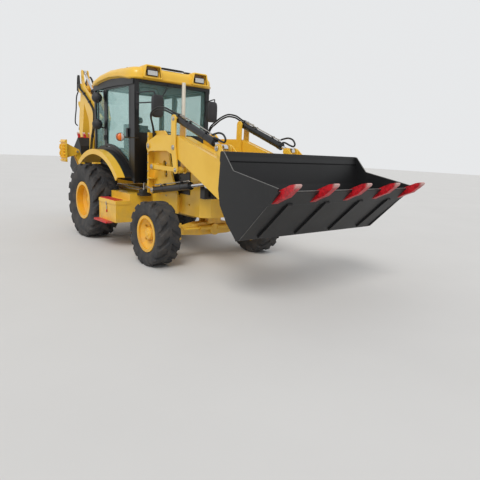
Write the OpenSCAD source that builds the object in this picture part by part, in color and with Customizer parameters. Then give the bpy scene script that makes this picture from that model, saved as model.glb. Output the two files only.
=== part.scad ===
// Backhoe loader: wheeled tractor with a front loader and a rear digging arm.
// Millimetres. +X is forward, +Y the machine's left, +Z up, ground at z = 0.
// Points of side views are [x, z], with x counted forward from the rear axle.

/* [Machine] */
// Wheelbase
wheelbase = 2514; // [2200:10:2900]
// Distance from the middle plane to the middle of a rear tyre
rear_track_half = 868; // [840:2:880]
// Distance from the middle plane to the middle of a front tyre
front_track_half = 968; // [940:2:980]

/* [Rear wheels] */
// Outer radius of a rear tyre, over its lugs
rear_tyre_r = 665; // [600:5:700]
// Width of a rear tyre
rear_tyre_w = 490; // [420:5:500]
// Radius of the rim's flange on a rear wheel
rear_rim_r = 338; // [300:2:360]
// Height of a lug on a rear tyre
rear_lug_h = 38; // [20:1:50]

/* [Front wheels] */
// Outer radius of a front tyre, over its lugs
front_tyre_r = 460; // [420:5:480]
// Width of a front tyre
front_tyre_w = 345; // [300:5:360]
// Radius of the rim's flange on a front wheel
front_rim_r = 262; // [240:2:280]
// Height of a lug on a front tyre
front_lug_h = 26; // [15:1:34]
// Distance from the middle plane to a kingpin
kingpin_y = 690; // [670:2:700]

/* [Frame] */
// Outer half width of the main frame
frame_half = 420; // [380:5:430]
// Thickness of the frame's side plates
frame_t = 40; // [25:1:50]
// Height of the frame's lower edge
frame_z0 = 695; // [640:5:720]
// Height of the frame's upper edge
frame_z1 = 975; // [940:5:1000]
// Front end of the nose
nose_x = 2950; // [2900:10:3050]

/* [Cab] */
// Rear face of the cab
cab_x0 = -250; // [-300:10:-200]
// Front face of the cab
cab_x1 = 1380; // [1340:10:1400]
// Half width of the cab over its side frames
cab_half = 720; // [700:5:740]
// Underside of the roof
cab_top = 2720; // [2650:10:2800]
// Thickness of the cab's frames
cab_t = 50; // [35:1:60]
// Thickness of the cab's glass
glass_t = 6; // [4:1:10]
// Thickness of a door
door_t = 36; // [28:1:40]
// Gap around a door
door_gap = 8; // [6:1:12]

/* [Fenders] */
// Radius of a rear fender's arch
fender_r = 1300; // [1280:5:1320]
// Distance from the middle plane to a fender's outer edge
fender_out = 970; // [940:5:1000]
// Thickness of a fender
fender_t = 18; // [10:1:24]
// Depth of the lip along a fender's outer edge
fender_lip = 90; // [60:5:110]

/* [Loader] */
// Distance from the middle plane to the middle of a loader arm
arm_y = 600; // [590:1:610]
// Width of a loader arm over its two plates
arm_w = 110; // [100:2:120]
// Thickness of an arm's plate
arm_t = 18; // [12:1:22]
// Radius of the loader's pins
pin_r = 30; // [24:1:34]
// Running clearance of a pin in its bore
pin_gap = 0.1; // [0.05:0.01:0.1]
// Radius of a lift cylinder's barrel
lift_barrel_r = 52; // [44:1:54]
// Radius of a lift cylinder's rod
lift_rod_r = 26; // [20:1:30]
// Radius of a tilt cylinder's barrel
tilt_barrel_r = 50; // [42:1:52]
// Radius of a tilt cylinder's rod
tilt_rod_r = 24; // [18:1:28]

/* [Loader bucket] */
// Width of the loader bucket
bucket_w = 2330; // [2250:10:2350]
// Thickness of the loader bucket's plates
bucket_t = 16; // [12:1:22]
// Teeth on the loader bucket
bucket_teeth = 5; // [4:1:7]

/* [Digging arm] */
// Radius of the digging arm's pins
hoe_pin_r = 28; // [24:1:32]
// Half width of the boom over its side plates
boom_half = 145; // [135:1:148]
// Thickness of the boom's plates
boom_t = 20; // [12:1:24]
// Half width of the stick
stick_half = 85; // [76:1:88]
// Width of the digging bucket
hoe_bucket_w = 600; // [500:10:620]
// Thickness of the digging bucket's plates
hoe_bucket_t = 14; // [10:1:18]
// Teeth on the digging bucket
hoe_teeth = 5; // [4:1:6]

/* [Stabilizers] */
// Length of a stabilizer leg from its pivot to its foot pin
leg_len = 1050; // [980:10:1080]
// Thickness of a leg along the machine
leg_t = 110; // [90:5:120]
// Angle of a raised leg above the ground
leg_angle = 68; // [60:1:72]

/* [Hidden] */
$fn = 48;
// Gap between a curved face and its neighbour, and between moving pieces
seam = 0.3;
clear = 11;
// Loader points
arm_pin = [1740, 1690];
lever_pin = [2510, 1680];
tilt_base = [2510, 2080];
lever_foot = [2580, 1365];
link_pin = arm_pin + lever_foot - lever_pin;
lift_base = [1820, 1010];
lift_eye = [3280, 1220];
tip_pin = [3680, 1220];
tip_top = [3600, 1690];
bucket_pin = [4330, 920];
bucket_link = [4170, 1260];
tooth_tip = [5380, 1385];
// Digging arm points
swing_x = -1500;
boom_foot = [-1950, 1020];
boom_ram_base = [-1700, 1270];
boom_ram_eye = [-1720, 2100];
stick_pin = [-2500, 2930];
stick_ram_base = [-1500, 2250];
stick_ram_eye = [-2580, 3300];
hoe_pin = [-2750, 1420];
guide_pin = [-2731, 1721];
guide_eye = [-3000, 1550];
hoe_link_pin = polar(hoe_pin, 210, 245);
hoe_ram_base = [-2800, 2620];
guide_eye_r = 52;
// The origin lies under the middle of the whole length
rear_axle_back = (tooth_tip[0] + guide_eye[0] - guide_eye_r) / 2;
// Cab and fender arch
arch_centre = [300, 300];
arch_from = 42;
arch_to = 126;
fender_in = 560;
arch_seam = 3;
door_x0 = 250;
door_x1 = 1230;
door_sill = 50;
door_head = 2680;
cab_floor = 1080;
// Loader arm plates and the lever plates beside them
arm_out = arm_w / 2;
arm_in = arm_out - arm_t;
lever_in = arm_out + clear;
lever_out = lever_in + arm_t;
eye_w = 60;
// Stabilizer points, [distance from the middle plane, height]
leg_x = -1000;
leg_pivot = [420, 550];
leg_ram_base = [80, 860];
leg_foot = polar(leg_pivot, leg_len, leg_angle);
leg_ram_eye = polar(leg_pivot, 580, leg_angle);

function polar(p, r, a) = [p[0] + r * cos(a), p[1] + r * sin(a)];
function dir(p, q) = atan2(q[1] - p[1], q[0] - p[0]);
function dist(p, q) = norm(q - p);
function toward(p, q, d) = p + d * (q - p) / dist(p, q);

// Moves from the rear axle to the machine's origin
module at_machine() {
  translate([-rear_axle_back, 0, 0]) children();
}

// A child and its mirror image on the machine's other side
module both() {
  children();
  mirror([0, 1, 0]) children();
}

// The right side's copy of a child drawn on the left
module on_right() {
  mirror([0, 1, 0]) children();
}

// A side view outline made solid between two distances from the middle plane
module slab(y0, y1) {
  translate([0, y1, 0]) rotate([90, 0, 0]) linear_extrude(y1 - y0) children();
}

// Two equal slabs on both sides of a plane at y
module twin(y, from, to) {
  slab(y + from, y + to) children();
  slab(y - to, y - from) children();
}

// A round bar across the machine at side view point p
module across(p, r, y0, y1) {
  translate([p[0], y1, p[1]]) rotate([90, 0, 0]) cylinder(r = r, h = y1 - y0);
}

// A round bar in a plane at y, from side view point p to q
module along(p, q, r, y) {
  translate([p[0], y, p[1]]) rotate([0, 90 - dir(p, q), 0]) cylinder(r = r, h = dist(p, q));
}

module disc(p, r) {
  translate(p) circle(r = r);
}

// Two discs and the flat sides that touch both
module bar(p, rp, q, rq) {
  a = dir(p, q);
  b = acos((rp - rq) / dist(p, q));
  disc(p, rp);
  disc(q, rq);
  polygon([polar(p, rp, a + b), polar(q, rq, a + b), polar(q, rq, a - b), polar(p, rp, a - b)]);
}

// A bent sheet of thickness t along a line of points
module sheet(points, t) {
  for (i = [1 : len(points) - 1]) bar(points[i - 1], t / 2, points[i], t / 2);
}

// A hydraulic barrel from its base eye at p toward q, bored for the rod
module barrel(p, q, length, r, rod_r, pin, y) {
  difference() {
    union() {
      along(toward(p, q, pin + 16), toward(p, q, length), r, y);
      along(toward(p, q, length - 60), toward(p, q, length), r + 5, y);
      across(p, r + 3, y - eye_w / 2, y + eye_w / 2);
    }
    across(p, pin + pin_gap, y - r - 10, y + r + 10);
    along(toward(p, q, r + 12), toward(p, q, length + 1), rod_r + pin_gap, y);
  }
}

// A rod from a point inside the barrel to its eye at q
module rod(p, q, start, rod_r, eye_r, pin, y) {
  difference() {
    union() {
      along(toward(p, q, start), toward(q, p, eye_r * 0.8), rod_r, y);
      across(q, eye_r, y - eye_w / 2, y + eye_w / 2);
    }
    across(q, pin, y - eye_w, y + eye_w);
  }
}

// Main frame with its nose
tow_eye_r = 18;
cross_members = [-760, -380, 460];
axle_notch = [130, 785];
nose_cut = 120;
module frame_side_view() {
  difference() {
    translate([-840, frame_z0]) square([840 + nose_x - nose_cut, frame_z1 - frame_z0]);
    translate([-axle_notch[0], 0]) square([2 * axle_notch[0], axle_notch[1]]);
    disc([2560, 850], 20);
  }
}

module nose_plan(inset) {
  half = frame_half - inset;
  polygon([
    [1940, -half], [nose_x - nose_cut, -half], [nose_x - inset, -half + nose_cut],
    [nose_x - inset, half - nose_cut], [nose_x - nose_cut, half], [1940, half]
  ]);
}

module chassis() {
  color("gold") at_machine() {
    both() slab(frame_half - frame_t, frame_half) frame_side_view();
    for (x = cross_members) {
      translate([x, -frame_half + frame_t, frame_z0 + 10])
        cube([40, 2 * (frame_half - frame_t), 220]);
    }
    difference() {
      translate([0, 0, frame_z0]) linear_extrude(frame_z1 - frame_z0) nose_plan(0);
      translate([-1, 0, frame_z0 + 15]) linear_extrude(frame_z1) nose_plan(frame_t);
      translate([1939, -frame_half - 1, 0]) cube([890, 2 * frame_half + 2, 2000]);
    }
    translate([1940, -frame_half + frame_t, frame_z0])
      cube([nose_x - nose_cut - 1940, 2 * (frame_half - frame_t), 15]);
    difference() {
      for (x = [wheelbase - 124, wheelbase + 96]) translate([x, -120, 560]) cube([30, 240, frame_z0 - 560]);
      translate([wheelbase - 134, 0, 620]) rotate([0, 90, 0]) cylinder(r = 30 + seam, h = 300);
    }
    for (x = [-100, 1200]) both() translate([x, frame_half - frame_t, frame_z1])
      cube([80, frame_t, cab_floor - frame_z1]);
    translate([nose_x - 1, 0, frame_z0 + 5]) linear_extrude(25) difference() {
      union() {
        translate([0, -45]) square([51, 90]);
        translate([51, 0]) circle(r = 45);
      }
      translate([51, 0]) circle(r = tow_eye_r);
    }
  }
}

// Upright plates that carry the arms
module tower_side_view() {
  difference() {
    polygon([
      [1600, 700], [2350, 700], [2350, 980], [2180, 1250], [1990, 1880],
      [1930, 1930], [1640, 1930], [1600, 1890]
    ]);
    bar([1960, 1440], 40, [2010, 1260], 40);
  }
}

module tower_pin(p, length) {
  across(p, 60, 500, 540);
  across(p, pin_r, 540, arm_y + length);
  across(p, 42, arm_y + length, arm_y + length + 8);
}

flange_out = 605;
module loader_towers() {
  color("gold") at_machine() both() {
    slab(470, 500) tower_side_view();
    translate([1620, frame_half, 720]) cube([700, 50, 230]);
    translate([1600, 499, 950]) cube([20, flange_out - 499, 950]);
    translate([1600, flange_out - 20, 950]) cube([34, 20, 950]);
    translate([1619, 499, 1180]) cube([120, flange_out - 499, 16]);
    tower_pin(arm_pin, arm_out + 5);
    tower_pin(link_pin, eye_w / 2 + 5);
    tower_pin(lift_base, eye_w / 2 + 5);
  }
}

// Frame of the digging arm, with the hinge plates of its swing post
rear_plate_z = [480, 1000];
rear_plate_x = [-1160, -870];
rear_plate_t = 30;
hinge_z = [560, 900];
hinge_t = 40;
hinge_pin_r = 45;
module rear_frame() {
  color("gold") at_machine() difference() {
    union() {
      for (x = rear_plate_x) translate([x, -480, rear_plate_z[0]])
        cube([rear_plate_t, 960, rear_plate_z[1] - rear_plate_z[0]]);
      translate([-1131, -200, 970]) cube([262, 400, 30]);
      translate([-1131, -320, 480]) cube([262, 640, 30]);
      for (z = hinge_z) translate([0, 0, z]) linear_extrude(hinge_t) {
        bar([-1290, 0], 160, [swing_x, 0], 108);
        translate([-1290, -160]) square([131, 320]);
      }
      both() translate([-1140, leg_ram_base[0], leg_ram_base[1]]) rotate([0, 90, 0])
        cylinder(r = 20, h = 280);
    }
    translate([swing_x, 0, 0]) cylinder(r = hinge_pin_r, h = 2000);
    both() translate([-1200, leg_pivot[0], leg_pivot[1]]) rotate([0, 90, 0])
      cylinder(r = hoe_pin_r + pin_gap, h = 400);
  }
}

// Rear axle between the wheels
rear_shaft_r = 70;
module rear_axle() {
  color("dimgray") at_machine() translate([0, 0, rear_tyre_r]) {
    both() rotate([-90, 0, 0]) {
      cylinder(r = 190, h = 170);
      cylinder(r = 105, h = 575);
      translate([0, 0, 545]) cylinder(r = 150, h = 40);
      cylinder(r = rear_shaft_r, h = rear_track_half + 35);
    }
    both() translate([-axle_notch[0] + 5, frame_half - frame_t - 5, -110])
      cube([2 * axle_notch[0] - 10, frame_t + 10, axle_notch[1] - rear_tyre_r + 110]);
    translate([150, -110, -90]) cube([150, 220, 180]);
  }
}

// Steered axle, hung on a pin along the machine
knuckle_z = [372, 548];
fork_t = 36;
module front_axle() {
  color("dimgray") at_machine() difference() {
    union() {
      translate([wheelbase - 84, 0, 0]) rotate([90, 0, 90]) linear_extrude(170) polygon([
        [-615, 420], [-250, 385], [250, 385], [615, 420],
        [615, 500], [250, 575], [60, 575], [60, 660], [-60, 660], [-60, 575],
        [-250, 575], [-615, 500]
      ]);
      both() for (z = [knuckle_z[0] - fork_t - 0.3, knuckle_z[1] + 0.3])
        translate([0, 0, z]) linear_extrude(fork_t) {
          disc([wheelbase, kingpin_y], 66);
          translate([wheelbase - 66, 560]) square([132, kingpin_y - 560]);
        }
      both() translate([wheelbase - 66, 560, knuckle_z[0] - fork_t - 0.3])
        cube([132, 60, knuckle_z[1] - knuckle_z[0] + 2 * fork_t]);
      translate([wheelbase - 133, 0, 620]) rotate([0, 90, 0]) cylinder(r = 30, h = 268);
      both() translate([wheelbase + 126, 40, 500]) rotate([-90, 0, 0]) {
        cylinder(r = 36, h = 230);
        cylinder(r = 16, h = 520);
      }
      both() translate([wheelbase + 81, 60, 470]) cube([40, 60, 60]);
      translate([wheelbase + 1, 0, 470]) rotate([0, 90, 0]) cylinder(r = 88, h = 150);
    }
    both() translate([wheelbase, kingpin_y, 0])
      cylinder(r = kingpin_r + pin_gap, h = 1000);
  }
}

// Steering knuckle with its stub shaft, drawn on the left
kingpin_r = 26;
front_shaft_r = 48;
module knuckle() {
  translate([wheelbase, kingpin_y, 0]) {
    translate([0, 0, knuckle_z[0]]) cylinder(r = 58, h = knuckle_z[1] - knuckle_z[0]);
    translate([0, 0, knuckle_z[0] - fork_t]) cylinder(
      r = kingpin_r, h = knuckle_z[1] - knuckle_z[0] + 2 * fork_t);
    translate([0, 0, front_tyre_r]) rotate([-90, 0, 0]) {
      cylinder(r = 78, h = 96);
      cylinder(r = front_shaft_r, h = front_track_half - kingpin_y + 60);
    }
    translate([-150, -15, 380]) cube([120, 40, 40]);
  }
}

module knuckle_right() {
  color("dimgray") at_machine() on_right() knuckle();
}

module knuckle_left() {
  color("dimgray") at_machine() knuckle();
}

// Turns a profile of [radius, distance along the axle] about a wheel's axle, drawn on the left
module turned(x, y, z) {
  translate([x, y, z]) rotate([-90, 0, 0]) rotate_extrude($fn = 96) children();
}

// Section of a tyre's carcass, sunk under its tread
module tyre_profile(r, w, rim_r, bead_r, bead_y, lug_h) {
  half = w / 2;
  sunk_r = r - lug_h - 12;
  polygon([
    [bead_r, -bead_y], [rim_r + 4, -bead_y], [rim_r + 18, -bead_y - 16], [r * 0.76, -half],
    [sunk_r, -half * 0.6], [sunk_r, half * 0.6], [r * 0.76, half],
    [rim_r + 18, bead_y + 16], [rim_r + 4, bead_y], [bead_r, bead_y]
  ]);
}

// Half of the tread, from its middle to its side: columns are shares of a pitch and of a lug
lug_outline = [[-0.36, 0], [-0.28, 1], [0.28, 1], [0.36, 0]];
shoulder_share = 0.9;
module half_tread(r, side, lug_h, lugs, lean) {
  outline = [for (i = [0 : lugs - 1], p = lug_outline)
    polar([0, 0], r + (p[1] - 1) * lug_h, (i + p[0]) * 360 / lugs)];
  edge = side * 0.7;
  translate([0, 0, 1]) linear_extrude(edge - 1, twist = -lean, slices = 1) polygon(outline);
  translate([0, 0, edge]) rotate([0, 0, lean])
    linear_extrude(side - edge, scale = shoulder_share) polygon(outline);
}

module tyre(r, w, rim_r, bead, lug_h, lugs, lean) {
  rotate_extrude($fn = 64) tyre_profile(r, w, rim_r, bead[0], bead[1], lug_h);
  difference() {
    for (s = [0, 1]) rotate([0, 0, 90 - (0.28 + s / 2) * 360 / lugs]) mirror([0, 0, s])
      half_tread(r, w / 2 * 0.96, lug_h, lugs, lean);
    cylinder(r = r * 0.68, h = w, center = true, $fn = 64);
  }
}

// Rim with its flanges, dished disc and hub, bored for the shaft
module rim_profile(rim_r, bead_r, bead_y, disc_y, hub_r, hub_y0, hub_y1, shaft_r, shaft_y) {
  barrel_in = bead_r - 16;
  polygon([
    [barrel_in, -bead_y - 14], [rim_r, -bead_y - 14], [rim_r, -bead_y], [bead_r - seam, -bead_y],
    [bead_r - seam, bead_y], [rim_r, bead_y], [rim_r, bead_y + 14], [barrel_in, bead_y + 14],
    [barrel_in, disc_y + 20], [barrel_in - 50, disc_y - 20], [hub_r, disc_y - 60],
    [hub_r, hub_y1 - 12], [hub_r - 12, hub_y1], [0, hub_y1], [0, shaft_y],
    [shaft_r + pin_gap, shaft_y], [shaft_r + pin_gap, hub_y0], [hub_r, hub_y0],
    [hub_r, disc_y - 84], [barrel_in - 50, disc_y - 44], [barrel_in, disc_y - 10]
  ]);
}

rear_bead = [300, 190];
rear_lugs = 17;
rear_lug_lean = 10;
module rear_tyre() {
  translate([0, rear_track_half, rear_tyre_r]) rotate([-90, 0, 0])
    tyre(rear_tyre_r, rear_tyre_w, rear_rim_r, rear_bead, rear_lug_h, rear_lugs, rear_lug_lean);
}

module rear_rim() {
  difference() {
    turned(0, rear_track_half, rear_tyre_r) rim_profile(
      rear_rim_r, rear_bead[0], rear_bead[1], 70, 112, -60, 70, rear_shaft_r, 38);
    translate([195, rear_track_half - 100, rear_tyre_r]) rotate([-90, 0, 0])
      cylinder(r = 30, h = 300);
  }
}

front_bead = [236, 132];
front_hole_turn = 72;
front_lugs = 14;
front_lug_lean = 9;
module front_tyre() {
  translate([wheelbase, front_track_half, front_tyre_r]) rotate([-90, 0, 0])
    tyre(front_tyre_r, front_tyre_w, front_rim_r, front_bead, front_lug_h, front_lugs, front_lug_lean);
}

module front_rim() {
  difference() {
    turned(wheelbase, front_track_half, front_tyre_r) rim_profile(
      front_rim_r, front_bead[0], front_bead[1], 90, 92, -50, 96, front_shaft_r, 62);
    for (a = [0 : front_hole_turn : 359])
      translate([wheelbase, front_track_half - 50, front_tyre_r]) rotate([-90, a, 0])
        translate([160, 0, 0]) cylinder(r = 20, h = 200);
  }
}

module rear_tyre_right() {
  color("dimgray") at_machine() on_right() rear_tyre();
}

module rear_tyre_left() {
  color("dimgray") at_machine() rear_tyre();
}

module rear_rim_right() {
  color("orange") at_machine() on_right() rear_rim();
}

module rear_rim_left() {
  color("orange") at_machine() rear_rim();
}

module front_tyre_right() {
  color("dimgray") at_machine() on_right() front_tyre();
}

module front_tyre_left() {
  color("dimgray") at_machine() front_tyre();
}

module front_rim_right() {
  color("orange") at_machine() on_right() front_rim();
}

module front_rim_left() {
  color("orange") at_machine() front_rim();
}

// Engine and transmission as plain blocks at their real place
engine_size = [900, 560, 620];
module engine() {
  color("dimgray") at_machine() {
    translate([1700, -engine_size[1] / 2, 760]) cube(engine_size);
    translate([560, -240, 560]) cube([790, 480, 400]);
    translate([1349, -180, 780]) cube([352, 360, 180]);
    translate([300, 0, rear_tyre_r]) rotate([0, 90, 0]) cylinder(r = 40, h = 261);
    translate([1340, 60, 600]) rotate([0, 90, 0]) cylinder(r = 30, h = 1040);
  }
}

// Sloping hood as a shell, open below
hood_x = [1420, 2950];
hood_top = [1880, 1425];
hood_t = 28;
module hood_section(x, half, top, inset) {
  translate([x, 0, 0]) rotate([90, 0, 90]) linear_extrude(1) polygon([
    [-half + inset, frame_z1 - 2 * inset], [half - inset, frame_z1 - 2 * inset],
    [half - inset, top - 90], [half - 26 - inset, top - 26 - inset],
    [half - 90 - inset, top - inset], [-half + 90 + inset, top - inset],
    [-half + 26 + inset, top - 26 - inset], [-half + inset, top - 90]
  ]);
}

module hood() {
  color("gold") at_machine() difference() {
    hull() {
      hood_section(hood_x[0], frame_half, hood_top[0], 0);
      hood_section(hood_x[1] - 1, frame_half, hood_top[1], 0);
    }
    hull() {
      hood_section(hood_x[0] - 30, frame_half, hood_top[0] + 9, hood_t);
      hood_section(hood_x[1] - hood_t, frame_half, hood_top[1], hood_t);
    }
    translate([exhaust_at[0], exhaust_at[1], 1000]) cylinder(r = 62, h = 1000);
  }
}

// Louvres beside the hood and the front grille
louvre_z = [1020, 1085, 1150, 1215, 1280];
module grille() {
  color("black") at_machine() {
    difference() {
      translate([hood_x[1], -330, 1000]) cube([26, 660, 360]);
      for (z = louvre_z) translate([hood_x[1] + 8, -300, z]) cube([30, 600, 34]);
    }
    both() difference() {
      translate([2300, frame_half, 1000]) cube([280, 14, 330]);
      for (z = louvre_z) translate([2320, frame_half + 8, z]) cube([240, 20, 28]);
    }
  }
}

exhaust_at = [2080, -250];
exhaust_r = 29;
module exhaust() {
  color("tan") at_machine() translate([exhaust_at[0], exhaust_at[1], 0]) difference() {
    union() {
      translate([0, 0, 1380]) cylinder(r = 52, h = 700);
      translate([0, 0, 2079]) cylinder(r1 = 52, r2 = exhaust_r, h = 60);
      translate([0, 0, 2138]) cylinder(r = exhaust_r, h = 512);
    }
    translate([0, 0, 1700]) cylinder(r = exhaust_r - 5, h = 1000);
  }
}

// Tank and boxes below the cab, with their steps
box_foot = 450;
toolbox_top = 800;
module side_boxes() {
  color("gold") at_machine() {
    both() translate([700, frame_half, box_foot]) cube([720, 400, 910 - box_foot]);
    both() difference() {
      translate([750, 819, box_foot]) cube([670, 246, toolbox_top - box_foot]);
      translate([770, 1059, box_foot + 25]) cube([630, 7, 255]);
    }
    both() translate([750, 940, box_foot - 25]) cube([500, 224, 30]);
    both() translate([770, 905, toolbox_top - 1]) cube([560, 150, 12]);
  }
}

// Curved fender over a rear wheel
module arch_disc(r) {
  translate(arch_centre) circle(r = r, $fn = 240);
}

module fenders() {
  color("gold") at_machine() both() difference() {
    slab(fender_in + seam, fender_out) intersection() {
      difference() {
        arch_disc(fender_r);
        arch_disc(fender_r - fender_lip);
      }
      polygon([
        arch_centre, polar(arch_centre, 3000, arch_from), polar(arch_centre, 3000, arch_to)
      ]);
    }
    slab(fender_in, fender_out - fender_t) arch_disc(fender_r - fender_t);
  }
}

// Hollow cab with its openings
screen_z = [1900, 2670];
rear_screen_z = [1640, 2670];
quarter_x = [-190, 195];
screen_half = 640;
module arch_drum(r, y0, y1) {
  slab(y0, y1) arch_disc(r);
}

module door_opening(inset) {
  difference() {
    translate([door_x0 + inset, 1120 + inset])
      square([door_x1 - door_x0 - 2 * inset, door_head - 1120 - 2 * inset]);
    arch_disc(fender_r + door_sill + inset);
  }
}

module quarter_opening() {
  difference() {
    translate([quarter_x[0], 1400]) square([quarter_x[1] - quarter_x[0], door_head - 1400]);
    arch_disc(fender_r + door_sill + 30);
  }
}

module cab_frame() {
  color("black") at_machine() difference() {
    translate([cab_x0, -cab_half, cab_floor])
      cube([cab_x1 - cab_x0, 2 * cab_half, cab_top - cab_floor]);
    both() arch_drum(fender_r + arch_seam, fender_in, cab_half + 1);
    difference() {
      translate([cab_x0 + cab_t, -cab_half + cab_t, cab_floor + 30])
        cube([cab_x1 - cab_x0 - 2 * cab_t, 2 * (cab_half - cab_t), 2000]);
      both() arch_drum(fender_r + 30, fender_in - 30, cab_half);
    }
    translate([cab_x1 - cab_t - 1, -screen_half, screen_z[0]])
      cube([cab_t + 2, 2 * screen_half, screen_z[1] - screen_z[0]]);
    translate([cab_x0 - 1, -screen_half, rear_screen_z[0]])
      cube([cab_t + 2, 2 * screen_half, rear_screen_z[1] - rear_screen_z[0]]);
    both() slab(cab_half - cab_t - 1, cab_half + 1) door_opening(0);
    both() slab(cab_half - cab_t - 1, cab_half + 1) quarter_opening();
    }
}

module windows() {
  color("lightblue", 0.5) at_machine() {
    translate([cab_x1 - 30, -screen_half, screen_z[0]])
      cube([glass_t, 2 * screen_half, screen_z[1] - screen_z[0]]);
    translate([cab_x0 + 24, -screen_half, rear_screen_z[0]])
      cube([glass_t, 2 * screen_half, rear_screen_z[1] - rear_screen_z[0]]);
    both() slab(cab_half - 30, cab_half - 30 + glass_t) difference() {
      translate([quarter_x[0], 1400]) square([quarter_x[1] - quarter_x[0], door_head - 1400]);
      arch_disc(fender_r + door_sill + 30 + seam);
    }
  }
}

// Side doors, hinged at their rear edge
hinge_x = 240;
hinge_r = 14;
hinge_y = cab_half + hinge_r + seam;
door_stile = 46;
module door_leaf() {
  difference() {
    slab(cab_half - door_t, cab_half) door_opening(door_gap);
    slab(cab_half - door_t - 1, cab_half + 1) door_opening(door_gap + door_stile);
  }
  for (z = [1760, 2480]) {
    translate([hinge_x, hinge_y, z]) cylinder(r = hinge_r, h = 90);
    translate([hinge_x, cab_half + seam, z]) cube([60, 12, 90]);
    translate([door_x0 + door_gap + 2, cab_half - 1, z]) cube([40, 4, 90]);
  }
  translate([1120, cab_half - 1, 1800]) cube([60, 26, 160]);
}

module door_pane() {
  slab(cab_half - 26, cab_half - 26 + glass_t) difference() {
    translate([door_x0 + door_gap + door_stile, 1120]) square([
      door_x1 - door_x0 - 2 * (door_gap + door_stile), door_head - 1120 - door_gap - door_stile
    ]);
    arch_disc(fender_r + door_sill + door_gap + door_stile + seam);
  }
}

module door_right() {
  color("black") at_machine() on_right() door_leaf();
}

module door_left() {
  color("black") at_machine() door_leaf();
}

module door_glass_right() {
  color("lightblue", 0.5) at_machine() on_right() door_pane();
}

module door_glass_left() {
  color("lightblue", 0.5) at_machine() door_pane();
}

// Roof, low at its rear, arched over the doors, with a pod for each front lamp
roof_x = [-330, 1500];
roof_half = 800;
roof_top = 2930;
roof_mid = [2790, 2830];
roof_corner_r = 100;
roof_crown_x = 330;
module roof_layer(x0, inset, z, h) {
  for (x = [x0, roof_x[1] - 40 - inset], s = [-1, 1]) translate([
    x + (x > x0 ? -1 : 1) * roof_corner_r, s * (roof_half - roof_corner_r - inset), z
  ]) cylinder(r = roof_corner_r, h = h, $fn = 32);
}

lamp_y = 448;
lamp_size = [55, 174, 70];
lamp_z = 2793;
pod_wall = 24;
pod_depth = 85;
module pod(x, length, inset) {
  translate([x, lamp_y, 0]) rotate([90, 0, 90]) linear_extrude(length) polygon([
    [inset - 168, cab_top + 15 + inset], [168 - inset, cab_top + 15 + inset],
    [142 - inset, roof_top + 12 - inset], [inset - 142, roof_top + 12 - inset]
  ]);
}

module roof() {
  color("gold") at_machine() difference() {
    union() {
      hull() {
        roof_layer(roof_x[0] + 30, 30, cab_top, 20);
        roof_layer(roof_x[0], 0, roof_mid[0], roof_mid[1] - roof_mid[0]);
        roof_layer(roof_crown_x, 110, roof_top - 30, 30);
      }
      both() pod(roof_x[1] - 400, 400, 0);
    }
    both() pod(roof_x[1] - pod_depth, pod_depth + 1, pod_wall);
    both() slab(cab_half + 1, roof_half + 1) translate([585, cab_top - 2520]) circle(r = 2600, $fn = 240);
    translate([cab_x0 + 60, -600, cab_top - 1]) cube([1500, 1200, 60]);
  }
}

side_lamp = [1390, 970, 1808];
module lamps() {
  color("ghostwhite") at_machine() both() {
    translate([roof_x[1] - pod_depth, lamp_y - lamp_size[1] / 2, lamp_z]) cube(lamp_size);
    translate([roof_x[0] - 28, 520, roof_mid[0] + 2]) cube([28, 120, 36]);
    translate([cab_x1, cab_half - 60, side_lamp[2] - 8]) cube([26, side_lamp[1] - cab_half + 20, 16]);
    translate(side_lamp) rotate([0, 90, 0]) cylinder(r = 62, h = 40, center = true);
  }
}

// Seat, console and steering wheel
module seat_and_console() {
  color("dimgray") at_machine() {
    translate([60, -190, cab_floor + 30]) cube([380, 380, 330]);
    translate([20, -240, cab_floor + 359]) cube([480, 480, 110]);
    translate([-60, -230, cab_floor + 359]) cube([110, 460, 640]);
    translate([1120, -180, cab_floor + 30]) cube([180, 360, 600]);
    translate([1180, 0, cab_floor + 600]) rotate([0, -35, 0]) cylinder(r = 32, h = 190);
    translate([1071, 0, cab_floor + 755]) rotate([0, -35, 0]) {
      rotate_extrude() translate([180, 0]) circle(r = 14);
      for (a = [0, 120, 240]) rotate([0, 0, a]) translate([0, -12, -6]) cube([176, 24, 12]);
      translate([0, 0, -20]) cylinder(r = 36, h = 34);
    }
  }
}

mirror_at = [1750, 520, 2300];
mirror_size = [34, 190, 330];
mirror_root = [cab_x1 + 4, 680, 2350];
dome_rod = [215, 830];
dome_r = 92;
module mirrors() {
  color("black") at_machine() {
    both() {
      translate(mirror_at - [0, mirror_size[1] / 2, mirror_size[2] / 2]) cube(mirror_size);
      translate(mirror_root) rotate([0, 90, -13.6]) cylinder(r = 11, h = 385);
      translate(mirror_root - [4, 20, 20]) cube([8, 40, 40]);
    }
    on_right() {
      translate([dome_rod[0], dome_rod[1], 1960]) cylinder(r = 10, h = 640);
      for (z = [1975, 2600 - 15])
        translate([dome_rod[0] - 10, cab_half, z]) cube([20, dome_rod[1] - cab_half + 5, 14]);
      for (z = [2035, 2490]) translate([dome_rod[0] - 70, dome_rod[1], z]) sphere(r = dome_r, $fn = 32);
    }
  }
}

// Loader arms with their cross tube
arm_strip = 16;
module arm_side_view() {
  disc(arm_pin, 85);
  disc(bucket_pin, 95);
  disc(lever_pin, 100);
  polygon([
    [1715, 1762], [1960, 1850], [2060, 1857], [2500, 1855], [2610, 1830], [3500, 1570],
    [4370, 985], [4290, 850], [4240, 849], [3570, 1060], [2660, 1490], [2500, 1560],
    [2280, 1630], [1800, 1616], [1740, 1612]
  ]);
}

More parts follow.
